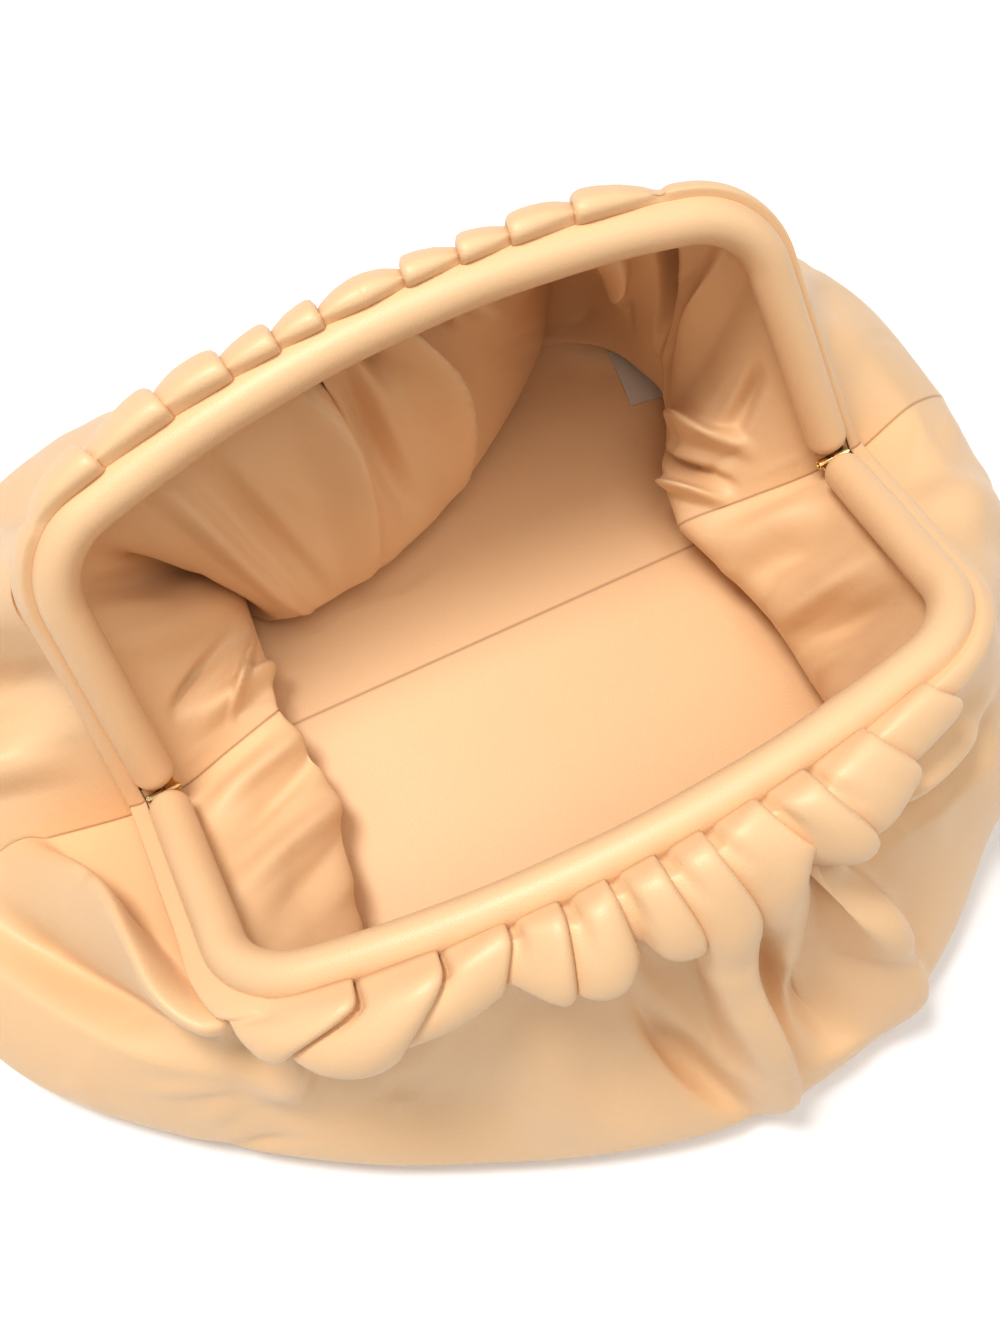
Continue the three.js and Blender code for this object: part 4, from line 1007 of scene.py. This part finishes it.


# %% [markdown]
# ## The outer bag
#
# The columns follow the leather as it was cut. Near the bow they crowd together into pleats, and below the
# tuck they spread out evenly again. Beside each pleat's edge the rim is puckered by a short hollow, where
# the seam pulls it in. Under each pleat's edge and along the bow the leather gets a painted shade.

# %% Folds, pleats and painted crevice shade of the outer bag
OUTER_AROUND, OUTER_DOWN, ROWS_NEAR_BOW = 420, 110, 1.3
PLEAT_TOP, PLEAT_FOOT = 0.14, 0.34
RIM_EASE = (-0.03, 0.05)
# The strength of the painted shade under the pleats' edges, and the width of the painted shade along the
# bow.
CREVICE_SHADE, BOW_SHADE_WIDTH = 0.6, 0.006
PUCKER = np.array([0.007, -0.04, 0.014, 0.09, 0.005, -0.022, 0])
OUTER_CREASES, OUTER_CREASE_SPREADS = 26, (0.008, 0.022)
PUCKERS = [list(PUCKER + np.array([edge, 0, edge, 0, 0, 0, 0])) for edge in PLEAT_EDGES[1:-2]]
OUTER_FOLDS = {
    -1: OUTER_FRONT_FOLDS + PUCKERS + creases(OUTER_CREASES, 3, OUTER_CREASE_SPREADS),
    1: OUTER_BACK_FOLDS + creases(OUTER_CREASES, 4, OUTER_CREASE_SPREADS),
}


def gathered(down):
    return 1 - ease(down, PLEAT_TOP, PLEAT_FOOT)


def outer_grid(side, u, down):
    share, _, swell, _ = pleated(u, side)
    return outer_point(side, lerp(u, share, gathered(down)), down, swell)


def outer_height(side, u, down):
    height, sideways, ahead = fold_rise(OUTER_FOLDS[side], u, down)
    pleat = PLEAT_HEIGHT * pleated(u, side)[1] * gathered(down) * ease(down, *RIM_EASE)
    return np.stack([height + pleat, -side * sideways, ahead], -1)


def outer_crevice_shade(side, u, down):
    """The painted shade under a pleat's edge and along the bow, from 0 to 1."""
    bow_shade = np.exp(-((down / BOW_SHADE_WIDTH) ** 2))
    return np.maximum(CREVICE_SHADE * pleated(u, side)[3] * gathered(down), bow_shade)


print("folds of the outer bag:", {side: len(rows) for side, rows in OUTER_FOLDS.items()})


# %% [markdown]
# ## Building the outer bag
#
# The leather is one skin without thickness, which is enough where nobody sees its edge: the top edge is
# tucked into the bow and the others meet in seams. The width, length and area of each cut are listed in
# `OUTER_CUT`; they were measured on the mesh.

# %% The outer bag's two panels
OUTER_CUT = {-1: ((0.72, 0.38), 0.165), 1: ((0.65, 0.35), 0.15)}
outer_shares = shares_with_edges(OUTER_AROUND)
outer_downs = np.concatenate([np.linspace(0, 1, OUTER_DOWN) ** ROWS_NEAR_BOW, FLAT_ROWS])
outer_out = smooth_ring(outer_point, outer_shares, outer_downs)
outer_ring = ring_of(outer_grid, outer_shares, outer_downs)
outer_ring = raised(outer_ring, outer_out, ring_of(outer_height, outer_shares, outer_downs))
outer_crevice_shades = panels(ring_of(outer_crevice_shade, outer_shares, outer_downs), OUTER_AROUND)
outer_pieces = []
for side, grid in panels(outer_ring, OUTER_AROUND).items():
    name = "outer_front" if side < 0 else "outer_back"
    # The seams' dark and the painted shade in the crevices and along the bow, as one value.
    dark = np.maximum(seam_value(grid), outer_crevice_shades[side])
    piece = grid_mesh(name + "_leather", grid, dark, TAN)
    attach(piece, "root")
    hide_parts(name + "_panel")
    size, area = OUTER_CUT[side]
    outer_pieces.append(piece)
print("outer bag:", sum(len(p.data.polygons) for p in outer_pieces), "faces")

# %% [markdown]
# ## The lining
#
# It hangs from the undersides of the bows to a fold, turns back under itself and lies flat on the bottom.
# Its folds are raised towards the inside. Beside the hinges its rim turns outward, so that it closes the
# gap between the two bows. It is a single skin, as the outer bag is.

# %% The lining's two panels
LINING_AROUND, LINING_DOWN = 300, 120
LINING_CREASES, LINING_CREASE_SPREADS = 34, (0.006, 0.016)
LINING_FOLDS = {
    -1: LINING_FRONT_FOLDS + creases(LINING_CREASES, 5, LINING_CREASE_SPREADS),
    1: LINING_BACK_FOLDS + creases(LINING_CREASES, 6, LINING_CREASE_SPREADS),
}


def lining_height(side, u, down):
    height, sideways, ahead = fold_rise(LINING_FOLDS[side], u, down)
    return np.stack([-height, -side * sideways, ahead], -1)


LINING_CUT = {-1: ((0.55, 0.3), 0.111), 1: ((0.54, 0.34), 0.129)}
lining_shares = shares_with_edges(LINING_AROUND)
lining_downs = np.concatenate([np.linspace(0, 1, LINING_DOWN), FLAT_ROWS])
lining_out = smooth_ring(lining_point, lining_shares, lining_downs)
lining_ring = ring_of(lining_point, lining_shares, lining_downs)
lining_ring = raised(lining_ring, lining_out, ring_of(lining_height, lining_shares, lining_downs))
for side, grid in panels(lining_ring, LINING_AROUND).items():
    name = "lining_front" if side < 0 else "lining_back"
    piece = grid_mesh(name + "_leather", grid, seam_value(grid), LINING)
    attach(piece, "root")
    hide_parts(name + "_panel")
    size, area = LINING_CUT[side]
print("lining:", lining_ring.shape[0] * lining_ring.shape[1], "points")

# %% [markdown]
# ## The padded bows
#
# Each bow is a steel bar in firm padding with leather drawn tight round it, so it looks like a smooth
# tube. It is made of rings round the bow's centre line and is a little uneven, as padding is. Its ends
# are round caps that stop short of the hinges and leave the brass in sight.

# %% The bows
BOW_RINGS, BOW_SIDES, CAP_RINGS = 260, 40, 8
CAP_LENGTH, END_GAP = 6, 5
CAP_TIP = 0.06
UNEVEN, UNEVEN_WAVES = 0.012, 61


def bow_mesh(name, side):
    tip = END_GAP / (2 * HALF_BOW)
    cap = CAP_LENGTH / (2 * HALF_BOW)
    middle = np.linspace(tip + cap, 1 - tip - cap, BOW_RINGS)
    turn = np.linspace(CAP_TIP, 1, CAP_RINGS)[:-1] * math.pi / 2
    first = tip + cap * (1 - np.cos(turn))
    last = 1 - tip - cap * (1 - np.cos(turn))
    share = np.concatenate([first, middle, last[::-1]])
    radius = np.concatenate([np.sin(turn), np.ones(BOW_RINGS), np.sin(turn)[::-1]]) * TUBE_RADIUS
    centre, out, rise, _ = bow_place(side, share)
    angle = np.arange(BOW_SIDES) / BOW_SIDES * 2 * math.pi
    spoke = out[:, None] * np.cos(angle)[:, None] + rise[:, None] * np.sin(angle)[:, None]
    uneven = 1 + UNEVEN * np.sin(share * UNEVEN_WAVES + side)[:, None] * np.cos(angle * 2 + 1)
    points = centre[:, None] + spoke * (radius[:, None] * uneven)[..., None]
    closed = np.concatenate([points, points[:, :1]], 1)
    return grid_mesh(name, closed, np.zeros(closed.shape[:2]), TAN)


for side, word in ((-1, "front"), (1, "back")):
    piece = bow_mesh(f"bow_{word}_leather", side)
    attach(piece, "root")
    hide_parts(f"frame_bow_{word}")
    print(piece.name, "has", len(piece.data.polygons), "faces")

# %% [markdown]
# ## Hinges and label
#
# The hinges are turned and bent from brass, and the label is a flat tab. The CAD has their true shape
# already, so these pieces are kept as they are and only get a material.

# %% Hinges and label
for name, node in nodes.items():
    if name.startswith("hinge") or name == "label":
        node.data.materials.clear()
        node.data.materials.append(LABEL if name == "label" else BRASS)
print("CAD pieces that show:", ", ".join(n for n in nodes if n.startswith("hinge") or n == "label"))
